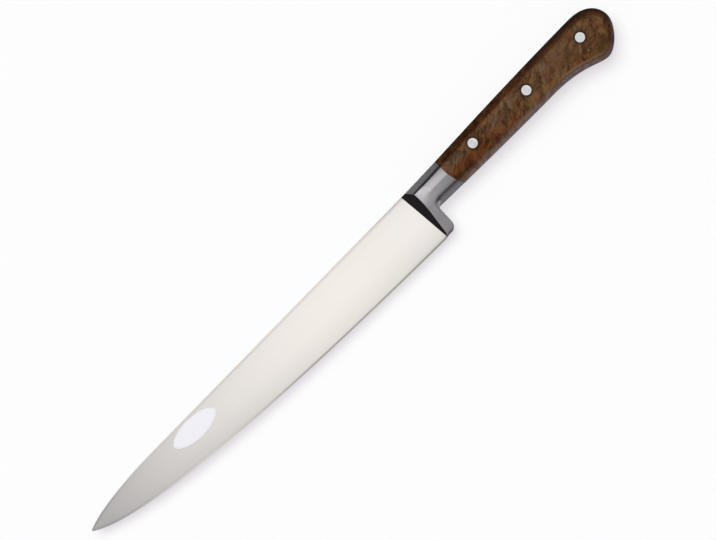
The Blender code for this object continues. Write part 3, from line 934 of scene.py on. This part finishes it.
def bolster_surface():
    """The bolster, as a height over a warped grid: the lowest of its half thickness less a
    quarter round at the lower rim, the same less the neck's underside, and the shoulder's plane,
    slope times the distance behind its start. The plane is marked, down to the toe's rounding."""
    spots, rim = add_shoulder(*bolster_grid())
    x, y = spots[..., 0], spots[..., 1]
    full = spine_side(x, y)
    eased = full - HEEL_EDGE_FALL * (1 - quarter_round(rim))
    above = y - belly_height(x)
    hollow = rise(x, *HOLLOW_ALONG) * rise(above, *HOLLOW_UP)
    height = np.minimum(eased, full - underside_drop(above) * hollow)
    height = smooth_min(height, (x - shoulder_line(y)) * SHOULDER_SLOPE, SHOULDER_CREASE)
    height = np.maximum(height, THINNEST)
    points, faces = closed_slab(bend_junction(spots), height, -height, caps=(True, True))
    front = (np.arange(len(spots))[:, None] <= SHOULDER_STEPS) * rise(y, *SHOULDER_MARK)
    return points, faces, {"shoulder": both_ways(front)}


def turned(profile, place, sides=96):
    """A closed shape turned round the thickness axis: (radius, height) pairs, which start and end
    on the axis, become rings. It is marked with each point's distance from the axis."""
    angle = np.linspace(0.0, 2 * math.pi, sides, endpoint=False)
    radius, height = np.array(profile).T[:, :, None]
    x = place[0] + radius * np.cos(angle)
    y = place[1] + radius * np.sin(angle)
    rings = np.dstack([x, y, np.broadcast_to(height, x.shape)])
    points, faces = loft(rings, caps=(False, False))
    return points, faces, {"turning": np.broadcast_to(radius, x.shape)}


def rivet_head(side):
    """Profile of a rivet's head from its rim under the face to the middle: a small bevel, a bright
    flat land, a shallow ring where the two halves were set, and a low dome inside it."""
    profile = [(RIVET_HEAD_RADIUS - inwards, down) for inwards, down in RIVET_RIM]
    profile += RIVET_RING + RIVET_DOME
    return [(radius, (HANDLE_HALF - down) * side) for radius, down in profile]


def rivet_profiles():
    """The socket comes from the right with a hollow barrel, the post from the left with a pin."""
    under = HANDLE_HALF - RIVET_HEAD_THICKNESS
    deep = under - RIVET_PLAY
    bore = PIN_RADIUS + RIVET_PLAY
    socket = rivet_head(-1)[::-1]
    socket += [(RIVET_HEAD_RADIUS, -under), (BARREL_RADIUS, -under), (BARREL_RADIUS, deep)]
    socket += [(bore, deep), (bore, -under), (0.0, -under)]
    post = [(0.0, -deep), (PIN_RADIUS, -deep), (PIN_RADIUS, under), (RIVET_HEAD_RADIUS, under)]
    return {"socket": socket, "post": post + rivet_head(1)}


def rivet_places():
    """The rivets' middles, evenly spaced from the first to the last."""
    share = np.linspace(0.0, 1.0, len(RIVET_NAMES))[:, None]
    return np.array(FIRST_RIVET) * (1 - share) + np.array(LAST_RIVET) * share


def label_surface():
    """A thin pointed oval that follows the ground face, its half width a power of an ellipse's:
    rings from its middle to its rim, and back. It is marked with the share of its reach."""
    angle = np.linspace(0.0, 2 * math.pi, LABEL_SIDES, endpoint=False)
    narrow = np.abs(np.sin(angle)) ** LABEL_POWER * np.sign(np.sin(angle))
    oval = np.stack([np.cos(angle) * LABEL_LENGTH / 2, narrow * LABEL_WIDTH / 2], axis=1)
    cosine, sine = math.cos(LABEL_TURN), math.sin(LABEL_TURN)
    oval = oval @ np.array([[cosine, sine], [-sine, cosine]])
    spots = oval[None] * LABEL_RINGS[:, None, None] + np.array(LABEL_CENTRE)
    ground = blade_half(spots[..., 0], spots[..., 1])
    curl = LABEL_CURL * (LABEL_RINGS[:, None] == 1.0)
    below = np.dstack([spots, ground + LABEL_UNDERSIDE])
    above = np.dstack([spots, ground + LABEL_TOP - curl])[::-1]
    points, faces = loft(np.concatenate([below, above]), caps=(False, False))
    reach = np.concatenate([LABEL_RINGS, LABEL_RINGS[::-1]])[:, None]
    return points, faces, {"reach": np.broadcast_to(reach, (len(reach), LABEL_SIDES))}


def drill(piece, side):
    """Cuts the rivets' seats into a wooden half: a Boolean with turned cutters, applied."""
    seat = HANDLE_HALF - RIVET_HEAD_THICKNESS
    wide = RIVET_HEAD_RADIUS + RIVET_GAP
    profile = [(0.0, SEAT_START), (BARREL_RADIUS, SEAT_START), (BARREL_RADIUS, seat)]
    profile += [(wide, seat), (wide, SEAT_END), (0.0, SEAT_END)]
    profile = [(radius, height * side) for radius, height in profile]
    for place in rivet_places():
        points, faces, _ = turned(profile, place)
        cutter = new_object("cutter", closed_mesh("cutter", points, faces))
        modifier = piece.modifiers.new("seat", "BOOLEAN")
        modifier.operation = "DIFFERENCE"
        modifier.solver = "EXACT"
        modifier.object = cutter
        depsgraph = bpy.context.evaluated_depsgraph_get()
        result = bpy.data.meshes.new_from_object(piece.evaluated_get(depsgraph))
        piece.modifiers.clear()
        piece.data = result
        bpy.data.objects.remove(cutter)
    smooth(piece.data, CRISP_ANGLE)


# Steel, aluminium and paper
BRUSHED_STEEL = ((0.3, (0.70, 0.675, 0.658)), (0.7, (0.74, 0.717, 0.70)))
CLOUDED_STEEL = (0.69, 0.68, 0.68)
POLISHED_STEEL = ((0.38, 0.373, 0.39), (0.415, 0.408, 0.425))
# Painted reflection: the bolster's shoulder near black, as if it mirrored a dark room
SHOULDER_PAINTED_REFLECTION = (0.062, 0.054, 0.060)
ALUMINIUM_LAND = (0.81, 0.78, 0.755)
ALUMINIUM_MIDDLE = (0.69, 0.72, 0.755)
PAPER_WHITE = (0.86, 0.865, 0.90)
PAPER_SHADE = (0.80, 0.805, 0.83)
PAPER_LINE = (0.68, 0.68, 0.71)

# Where the steel's painted shade and painted highlight rise, in millimetres: along the knife,
# above the edge and below the spine. Then a rivet's turned rings, in radians for each millimetre
# from its axis, its greyer middle, and the sticker's grey rim line, in shares of its reach
EDGE_SHADE_ALONG = (-178.0, -120.0)
SPINE_SHADE_ALONG = (-160.0, -100.0)
SPINE_SHADE_BELOW = (0.8, 1.5)
TIP_SHADE_ALONG = (-192.0, -165.0)
TIP_SHADE_ABOVE = (0.5, 1.5)
TIP_SHADE_BELOW = (0.4, 1.3)
WHETTED_ALONG = (-152.0, -72.0)
WHETTED_ABOVE = (0.7, 0.95)
RIVET_RINGS = 55.0
RIVET_MIDDLE = (0.9, 1.8)
LINE_START = (0.925, 0.94)
LINE_END = (0.955, 0.97)

# Walnut: its browns, what multiplies them with painted shade among them, and the painted
# reflection on its belly
WALNUT_BROWNS = (
    (0.22, (0.032, 0.012, 0.003)),
    (0.38, (0.056, 0.023, 0.006)),
    (0.50, (0.090, 0.040, 0.013)),
    (0.62, (0.120, 0.058, 0.0225)),
    (0.80, (0.158, 0.080, 0.034)),
)
TOWARDS_OLIVE = (0.94, 1.14, 0.95)
TOWARDS_RED = (1.14, 0.82, 0.72)
LOW_SHADE = (0.86, 0.62, 0.36)
# Painted shade along the rim away from the belly, deeper at its outer part
RIM_PAINTED_SHADE = (0.48, 0.34, 0.19)
DARK_RIM_PAINTED_SHADE = (0.30, 0.24, 0.25)
BUTT_SHADE = (0.66, 0.58, 0.56)
# Painted grey reflection along the belly's rim
FRONT_PAINTED_REFLECTION = (0.235, 0.172, 0.132)
REAR_PAINTED_REFLECTION = (0.208, 0.173, 0.16)
FRONT_PAINTED_REFLECTION_PATCH = (0.205, 0.165, 0.142)
REAR_PAINTED_REFLECTION_PATCH = (0.18, 0.158, 0.138)
RIDGE_BROWN = (0.20, 0.125, 0.075)
# A dark ring in the wood round each rivet
RIVET_SURROUND_DARK = (0.022, 0.012, 0.008)

# Where the wood's looks change, in millimetres: along the knife and up it, and from a rivet's axis
CALM_START = (76.0, 84.0)
CALM_END = (97.0, 103.0)
CALM_UP = (-13.0, -10.0)
LOW_SHADE_UP = (-9.0, -6.2)
LOW_SHADE_FADE = (38.0, 70.0)
RIM_PAINTED_SHADE_ALONG = (50.0, 100.0)
REAR_BELLY = (78.0, 88.0)
LAST_BELLY = (102.0, 112.0)
RIVET_SURROUND_FADE = (2.75, 3.9)

# The grain's turn in degrees, the patches' reach through the wood, where the right half's wood
# is taken from, and the patches' colours
GRAIN_TURN = 43.0
THROUGH = 40.0
OTHER_WOOD = (31.0, 17.0, 5.0)
MILD = (0.112, 0.057, 0.030)
TAN = (0.160, 0.080, 0.035)
GREY_BROWN = (0.115, 0.075, 0.048)
OLIVE = (0.105, 0.066, 0.016)
MAUVE = (0.095, 0.046, 0.030)
RED_BROWN = (0.120, 0.036, 0.013)
AMBER = (0.185, 0.074, 0.010)
DARK_VEIN = (0.024, 0.009, 0.004)
DARK_OLIVE = (0.045, 0.024, 0.004)

# Figure of each half: colour, middle, reach along and across, turn in degrees, strength
LEFT_FIGURE = (
    (GREY_BROWN, (26.7, -5.4), (5.0, 1.9), 0.0, 0.9),
    (DARK_OLIVE, (24.6, -12.2), (3.0, 1.2), 0.0, 0.7),
    (RED_BROWN, (33.0, -9.1), (2.9, 2.2), 40.0, 0.9),
    (DARK_VEIN, (30.2, -11.6), (3.2, 1.0), 35.0, 0.6),
    (RED_BROWN, (40.0, -10.4), (4.6, 0.9), 42.0, 0.8),
    (AMBER, (43.0, -11.8), (2.0, 0.8), 20.0, 0.9),
    (MILD, (57.0, -8.0), (3.4, 2.2), 40.0, 0.65),
    (MILD, (75.5, -7.0), (3.0, 2.2), 40.0, 0.65),
    (TAN, (46.2, -7.6), (3.4, 2.2), 30.0, 0.7),
    (GREY_BROWN, (51.6, -5.6), (2.6, 1.8), 60.0, 0.8),
    (MAUVE, (55.5, -6.0), (3.2, 1.9), 15.0, 0.7),
    (TAN, (58.9, -3.0), (2.6, 1.5), 0.0, 0.8),
    (GREY_BROWN, (62.0, -5.7), (2.4, 1.5), 60.0, 0.9),
    (MAUVE, (65.4, -4.2), (2.6, 1.8), 0.0, 0.7),
    (AMBER, (60.3, -12.4), (2.6, 1.3), 30.0, 0.5),
    (OLIVE, (68.3, -11.8), (2.2, 1.6), 30.0, 0.9),
    (AMBER, (73.2, -3.6), (2.0, 1.0), 40.0, 0.5),
    (MAUVE, (81.4, -7.2), (3.6, 1.3), 85.0, 0.7),
    (GREY_BROWN, (83.2, -4.2), (2.6, 1.9), 0.0, 0.9),
    (MILD, (90.2, -5.4), (6.6, 3.8), 5.0, 0.85),
    (MAUVE, (95.5, -8.0), (4.0, 1.2), 20.0, 0.5),
    (AMBER, (82.4, -12.0), (3.0, 0.8), 8.0, 0.9),
    (OLIVE, (87.8, -12.9), (4.4, 0.9), -5.0, 0.6),
    (RED_BROWN, (102.2, -3.3), (2.4, 2.0), 60.0, 0.7),
    (DARK_VEIN, (102.4, -11.8), (3.6, 0.9), 60.0, 1.0),
    (DARK_VEIN, (104.6, -1.5), (2.4, 0.7), 80.0, 0.7),
    (DARK_VEIN, (100.4, -5.4), (1.6, 1.0), 10.0, 0.6),
    (DARK_VEIN, (67.0, -3.4), (1.9, 1.1), 30.0, 0.5),
    (AMBER, (100.4, -15.0), (1.9, 1.2), 30.0, 0.9),
    (OLIVE, (99.0, -10.2), (2.4, 1.3), 45.0, 0.6),
    (DARK_OLIVE, (107.4, -15.8), (3.6, 2.6), 70.0, 0.9),
    (RED_BROWN, (109.2, -3.2), (2.6, 1.4), 30.0, 0.6),
    (AMBER, (116.0, -3.9), (1.7, 1.3), -50.0, 0.6),
    (DARK_OLIVE, (106.4, -16.0), (3.6, 2.1), 0.0, 0.55),
    (DARK_VEIN, (103.1, -11.3), (2.3, 0.6), 58.0, 0.7),
)
RIGHT_FIGURE = (
    (OLIVE, (96.0, -6.0), (6.0, 3.0), -20.0, 0.8),
    (RED_BROWN, (70.0, -10.0), (5.0, 1.6), -40.0, 0.8),
    (DARK_VEIN, (55.0, -7.0), (6.0, 0.8), -35.0, 0.7),
    (GREY_BROWN, (62.0, -4.0), (4.0, 2.0), -60.0, 0.8),
    (TAN, (48.0, -6.0), (5.0, 2.2), -30.0, 0.7),
    (AMBER, (35.0, -11.0), (3.0, 1.0), -30.0, 0.8),
    (AMBER, (85.0, -12.5), (3.0, 1.0), -15.0, 0.8),
    (MAUVE, (80.0, -5.0), (3.0, 2.0), 80.0, 0.7),
    (DARK_OLIVE, (110.0, -14.0), (4.0, 2.6), -30.0, 0.9),
)


def blade_steel():
    """Satin steel, finely brushed from spine to edge. Its colour carries painted shade: a little
    darker towards the spine and the edge, more along the eased spine and round the tip; the whetted
    bevel has a painted highlight near the tip and painted shade that grows towards the heel."""
    material, mix, shader = new_finish("satin_blade_steel", Metallic=1.0)
    fine = mix.noise(mix.place((9.0, 0.26, 0.26)), 1.0, 2.0)
    broad = mix.noise(mix.place((0.9, 0.06, 0.06)), 1.0, 3.0)
    cloud = mix.noise(mix.place((0.04, 0.06, 0.06)), 1.0, 3.0)
    (along,) = mix.outputs("ShaderNodeSeparateXYZ", ("X",), {0: mix.place()})
    above_edge = mix.attribute("above_edge")
    below_spine = mix.attribute("below_spine")
    brush = fine * 0.6 + broad * 0.4
    whetted = 1 - above_edge.between(*WHETTED_ABOVE)
    share = above_edge / (above_edge + below_spine)
    # Painted shade: darker next to the edge and the spine, along the eased spine and round the tip
    near_edge = (1 - share.between(0.0, 0.5)) * (0.025 + along.between(*EDGE_SHADE_ALONG) * 0.075)
    near_spine = share.between(0.7, 0.95) * 0.025
    eased = (1 - below_spine.between(*SPINE_SHADE_BELOW)) * along.between(*SPINE_SHADE_ALONG) * 0.11
    rim = 2 - above_edge.between(*TIP_SHADE_ABOVE) - below_spine.between(*TIP_SHADE_BELOW)
    tip = rim * (0.17 - along.between(*TIP_SHADE_ALONG) * 0.15)
    shade = 1 - near_edge - near_spine - eased - tip
    # Painted highlight on the whetted bevel near the tip, painted shade on it towards the heel
    shade = shade * (whetted * (0.30 - along.between(*WHETTED_ALONG) * 0.70) + 1)
    grey = mix.node("ShaderNodeCombineColor", {}, {0: shade, 1: shade, 2: shade})
    tone = mix.ramp(BRUSHED_STEEL, brush)
    tone = mix.mix(cloud.between(0.35, 0.75) * 0.15, tone, CLOUDED_STEEL)
    tone = mix.mix(1.0, tone, grey, "MULTIPLY")
    mix.coat(shader, tone, 0.25 + brush * 0.08, (brush, 0.1, 0.00003))
    return material


def bolster_steel():
    """Polished steel with hairline marks. The shoulder that faces the blade is painted near black,
    a painted reflection of a dark room.
    """
    material, mix, shader = new_finish("polished_bolster_steel", Metallic=1.0)
    hair = mix.noise(mix.place((0.5, 6.0, 3.0), 0.3), 1.0, 2.0)
    cloud = mix.noise(mix.place((0.25, 0.25, 0.25)), 1.0, 3.0)
    tone = mix.mix(cloud.between(0.3, 0.7), *POLISHED_STEEL)
    # Painted reflection: the shoulder turns near black
    tone = mix.mix(mix.attribute("shoulder").between(0.3, 0.7), tone, SHOULDER_PAINTED_REFLECTION)
    mix.coat(shader, tone, 0.15 + hair * 0.06, (hair, 0.05, 0.00002))
    return material


def lay_patches(mix, tone, where, figure, broken):
    """Lays patches of other browns over the wood, each fading out round its reach."""
    for colour, middle, reach, turn, strength in figure:
        offset = mix.inside(where, (*reach, THROUGH), turn, (*middle, 0.0))
        away = mix.vector("LENGTH", offset, output="Value")
        tone = mix.mix((1 - away.between(0.3, 1.3)) * broken * strength, tone, colour)
    return tone


def paint_edge_light(mix, tone, x, hue, figured):
    """Paints shade dark along the wood's outline away from the belly, and lays a painted grey
    reflection along the belly: wide in front, a narrow one behind a red-brown ridge towards the
    butt, which ends in painted shade."""
    near_edge = mix.attribute("edge")
    under = mix.attribute("under")
    top = 1 - under
    rough_edge = near_edge + (figured - 0.5)
    # Painted shade along the rim away from the belly
    tone = mix.mix(rough_edge.between(-0.02, 0.36) * top, tone, RIM_PAINTED_SHADE, "MULTIPLY")
    outer = rough_edge.between(0.45, 1.05) * top * (0.2 + x.between(*RIM_PAINTED_SHADE_ALONG) * 0.75)
    tone = mix.mix(outer, tone, DARK_RIM_PAINTED_SHADE, "MULTIPLY")
    rear = x.between(*REAR_BELLY)
    last = x.between(*LAST_BELLY)
    patch = hue.between(0.46, 0.56)
    # Painted grey reflection along the belly's rim
    painted_reflection = mix.mix(rear, FRONT_PAINTED_REFLECTION, REAR_PAINTED_REFLECTION)
    painted_reflection = mix.mix(patch * (1 - rear), painted_reflection, FRONT_PAINTED_REFLECTION_PATCH)
    painted_reflection = mix.mix(patch * rear * 0.7, painted_reflection, REAR_PAINTED_REFLECTION_PATCH)
    patchy = 0.62 + figured.between(0.40, 0.56) * 0.38
    ridge = near_edge.between(0.35, 0.55) * (1 - near_edge.between(0.62, 0.8)) * under * rear
    tone = mix.mix(ridge * (1 - last) * 0.6, tone, RIDGE_BROWN)
    wide = near_edge.between(0.35, 1.2) * (1 - rear)
    narrow = near_edge.between(0.68, 1.0) * rear
    tone = mix.mix((wide + narrow) * under * (1 - last * 0.45) * patchy, tone, painted_reflection)
    return mix.mix(near_edge.between(0.2, 0.9) * under * last, tone, BUTT_SHADE, "MULTIPLY")


def walnut_burl(name, shift, figure):
    """Figured walnut under a thin lacquer: clouded browns that drift between red and olive, veins
    and streaks that run slantwise, patches of other browns, painted shade along the rim away from
    the belly, a painted grey reflection along the belly and a dark ring round each rivet."""
    material, mix, shader = new_finish(name, Specular_IOR_Level=0.11)
    knife = mix.place()
    x, y = mix.outputs("ShaderNodeSeparateXYZ", ("X", "Y"), {0: knife})
    spot = mix.vector("ADD", knife, shift)
    swirl = mix.vector("SUBTRACT", mix.noise(spot, 0.13, 3.0, 0.55, 1), (0.5, 0.5, 0.5))
    warped = mix.vector("MULTIPLY_ADD", swirl, (8.0, 8.0, 8.0), spot)
    cloud = mix.noise(warped, 0.13, 3.0, 0.55)
    figured = mix.noise(mix.inside(warped, (6.0, 2.2, 2.2), GRAIN_TURN), 1.0, 3.0, 0.5)
    streak = mix.noise(mix.inside(warped, (3.6, 0.8, 0.8), GRAIN_TURN), 1.0, 2.0, 0.5)
    hue = mix.noise(mix.vector("ADD", warped, (40.0, 9.0, 3.0)), 0.20, 3.0, 0.55)
    pore = mix.noise(knife, 1.15, 2.0)
    level = figured * 0.42 + cloud * 0.22 + streak * 0.25 + pore * 0.11
    calm = x.between(*CALM_START) * (1 - x.between(*CALM_END)) * y.between(*CALM_UP)
    tone = mix.ramp(WALNUT_BROWNS, (level - 0.5) * (3.2 - calm * 1.5) + 0.5)
    tone = mix.mix(hue.between(0.50, 0.66) * 0.7, tone, TOWARDS_OLIVE, "MULTIPLY")
    tone = mix.mix((1 - hue.between(0.34, 0.50)) * 0.7, tone, TOWARDS_RED, "MULTIPLY")
    edge = mix.vector("MULTIPLY_ADD", swirl, (4.0, 4.0, 4.0), knife)
    broken = 0.30 + streak.between(0.40, 0.60) * 0.7
    tone = lay_patches(mix, tone, edge, figure, broken)
    low = (1 - y.between(*LOW_SHADE_UP)) * (1 - x.between(*LOW_SHADE_FADE) * 0.75)
    tone = mix.mix(low, tone, LOW_SHADE, "MULTIPLY")
    tone = paint_edge_light(mix, tone, x, hue, figured)
    flat = mix.vector("MULTIPLY", knife, (1.0, 1.0, 0.0))
    # A dark ring in the wood round each rivet's seat
    for rivet in rivet_places():
        away = mix.vector("DISTANCE", flat, (*rivet, 0.0), output="Value")
        tone = mix.mix((1 - away.between(*RIVET_SURROUND_FADE)) * 0.7, tone, RIVET_SURROUND_DARK)
    mix.coat(shader, tone, 0.28 + pore * 0.14, (pore * 0.4 + streak * 0.6, 0.12, 0.0001))
    return material


def rivet_aluminium():
    """Turned aluminium: fine rings round the axis, a bright land and a greyer middle."""
    material, mix, shader = new_finish("turned_aluminium", Metallic=1.0)
    radius = mix.attribute("turning")
    rings = mix.node("ShaderNodeMath", {"operation": "SINE"}, {0: radius * RIVET_RINGS}) * 0.5 + 0.5
    speck = mix.noise(mix.place((1.5, 1.5, 1.5)), 1.0, 3.0)
    middle = 1 - radius.between(*RIVET_MIDDLE)
    tone = mix.mix(middle * (0.55 + speck * 0.6), ALUMINIUM_LAND, ALUMINIUM_MIDDLE)
    mix.coat(shader, tone, 0.28 + speck * 0.12, (rings, 0.08, 0.00002))
    return material


def sticker_paper():
    """White paper with a faint grey line near its rim and fine fibres."""
    material, mix, shader = new_finish("sticker_paper", Coat_Weight=0.1, Coat_Roughness=0.3)
    reach = mix.attribute("reach")
    fibre = mix.noise(mix.place((2.5, 2.5, 2.5)), 1.0, 4.0)
    line = reach.between(*LINE_START) * (1 - reach.between(*LINE_END))
    tone = mix.mix(fibre * 0.3, PAPER_WHITE, PAPER_SHADE)
    tone = mix.mix(line * 0.5, tone, PAPER_LINE)
    mix.coat(shader, tone, 0.55 + fibre * 0.1, (fibre, 0.1, 0.00002))
    return material


def dress_knife():
    """Makes each shown piece with its finish."""
    blade = blade_steel()
    bolster = bolster_steel()
    add_piece("blade", blade_surface(), blade, "blade_forging", STEEL_CRISP_ANGLE)
    add_piece("bolster", bolster_surface(), bolster, "blade_forging", STEEL_CRISP_ANGLE)
    add_piece("tang", tang_surface(), bolster, "blade_forging")
    halves = (("left", 1, (0.0, 0.0, 0.0), LEFT_FIGURE), ("right", -1, OTHER_WOOD, RIGHT_FIGURE))
    for word, side, shift, figure in halves:
        wood = walnut_burl(f"{word}_walnut_burl", shift, figure)
        piece = add_piece(f"{word}_wooden_half", scale_surface(side), wood, f"{word}_scale")
        drill(piece, side)
    aluminium = rivet_aluminium()
    for name, place in zip(RIVET_NAMES, rivet_places()):
        for half, profile in rivet_profiles().items():
            title = f"{name}_{half}"
            add_piece(f"{title}_turned", turned(profile, place), aluminium, title)
    add_piece("sticker", label_surface(), sticker_paper(), "label_sticker")


def link_output(tree, signal, kind="ShaderNodeOutputMaterial"):
    """Ends a node tree with what it shows."""
    end = tree.nodes.new(kind)
    tree.links.new(signal.socket, end.inputs["Surface"])


def stage_card(name, corners, faces):
    """A piece of the studio, with an empty material to fill."""
    mesh = bpy.data.meshes.new(name)
    mesh.from_pydata(corners, [], faces)
    card = new_object(name, mesh)
    material = bpy.data.materials.new(name)
    material.use_nodes = True
    material.node_tree.nodes.clear()
    mesh.materials.append(material)
    return card, Recipe(material.node_tree)


def rectangle(low, high, height):
    """Corners of a level rectangle."""
    (left, near), (right, far) = low, high
    return [(left, near, height), (left, far, height), (right, far, height), (right, near, height)]


def glow_for_reflections(card, mix, across_levels):
    """A card that only reflections see. Its glow is the product of one ramp along the knife and
    one across it, in millimetres from the origin."""
    where = {0: mix.node("ShaderNodeTexCoord", {}, {}, "Object")}
    along, across = mix.outputs("ShaderNodeSeparateXYZ", ("X", "Y"), where)
    along_stops = [(0.5 + x / RAMP_SPAN, colour) for x, colour in ALONG_CEILING]
    across_stops = [(0.5 + y / RAMP_SPAN, (level, level, level)) for y, level in across_levels]
    glow = mix.ramp(along_stops, along / (RAMP_SPAN * MM) + 0.5)
    fall = mix.ramp(across_stops, across / (RAMP_SPAN * MM) + 0.5)
    link_output(mix.tree, mix.glow(mix.mix(1.0, glow, fall, "MULTIPLY"), CEILING_STRENGTH))
    card.visible_camera = False
    card.visible_diffuse = False
    card.visible_shadow = False


def hang_ceiling():
    """A pale ceiling, brightest over the knife."""
    low, high = CEILING_REACH
    card, mix = stage_card("ceiling", rectangle(low, high, CEILING), [(0, 1, 2, 3)])
    glow_for_reflections(card, mix, ACROSS_CEILING)


def hang_arch():
    """A narrow arch over the bolster, a half cylinder along the knife, which darkens towards both
    ends, so that the polished steel shows dark lines where it turns away from the ceiling."""
    angle = np.linspace(-math.pi / 2, math.pi / 2, ARCH_SIDES + 1)
    profile = np.stack([np.sin(angle), np.cos(angle)], axis=1) * ARCH_RADIUS
    corners = [(x, y, z + ARCH_LIFT) for x in ARCH_REACH for y, z in profile.tolist()]
    faces = [(i, i + 1, i + ARCH_SIDES + 2, i + ARCH_SIDES + 1) for i in range(ARCH_SIDES)]
    card, mix = stage_card("arch", corners, faces)
    glow_for_reflections(card, mix, ACROSS_ARCH)


def lay_floor():
    """A plain white floor that keeps the knife's shadow, part of it glow that only the camera
    sees. Metal sees it darker, as in a room where only the knife is lit."""
    low, high = FLOOR_REACH
    _, mix = stage_card("floor", rectangle(low, high, 0.0), [(0, 1, 2, 3)])
    seen, glossy = mix.outputs("ShaderNodeLightPath", ("Is Camera Ray", "Is Glossy Ray"))
    matt = mix.node("ShaderNodeBsdfDiffuse", {}, {"Color": FLOOR_WHITE})
    inputs = {0: seen * FLOOR_GLOW, 1: matt, 2: mix.glow(FLOOR_LIGHT)}
    floor = mix.node("ShaderNodeMixShader", {}, inputs)
    dim = mix.glow(FLOOR_IN_METAL, FLOOR_IN_METAL_STRENGTH)
    link_output(mix.tree, mix.node("ShaderNodeMixShader", {}, {0: glossy, 1: floor, 2: dim}))


def light_studio():
    """Even fill from the room and one broad soft lamp overhead. Reflections see a pale room that
    is dark only low down beyond the knife's tip."""
    world = bpy.data.worlds.new("studio")
    bpy.context.scene.world = world
    world.use_nodes = True
    world.node_tree.nodes.clear()
    mix = Recipe(world.node_tree)
    seen, glossy = mix.outputs("ShaderNodeLightPath", ("Is Camera Ray", "Is Glossy Ray"))
    where = {0: mix.node("ShaderNodeTexCoord", {}, {}, "Generated")}
    ahead, up = mix.outputs("ShaderNodeSeparateXYZ", ("X", "Z"), where)
    dark_end = (1 - ahead.between(*DARK_AHEAD)) * (1 - up.between(*DARK_UP))
    colour = mix.mix(glossy, FILL_LIGHT, mix.mix(dark_end, ROOM_PALE, ROOM_DARK))
    colour = mix.mix(seen, colour, (1.0, 1.0, 1.0))
    glow = mix.node("ShaderNodeBackground", {}, {"Color": colour, "Strength": 1.0})
    link_output(mix.tree, glow, "ShaderNodeOutputWorld")
    lamp = bpy.data.lights.new("overhead", "SUN")
    lamp.energy = KEY_STRENGTH * math.pi
    lamp.angle = KEY_BREADTH
    lamp.color = KEY_LIGHT
    sun = new_object("overhead", lamp)
    sun.rotation_euler = (KEY_TILT, 0.0, 0.0)
    sun.visible_glossy = False


aim_camera()
lay_floor()
hang_ceiling()
hang_arch()
light_studio()
dress_knife()
bpy.context.scene.view_settings.view_transform = "Standard"
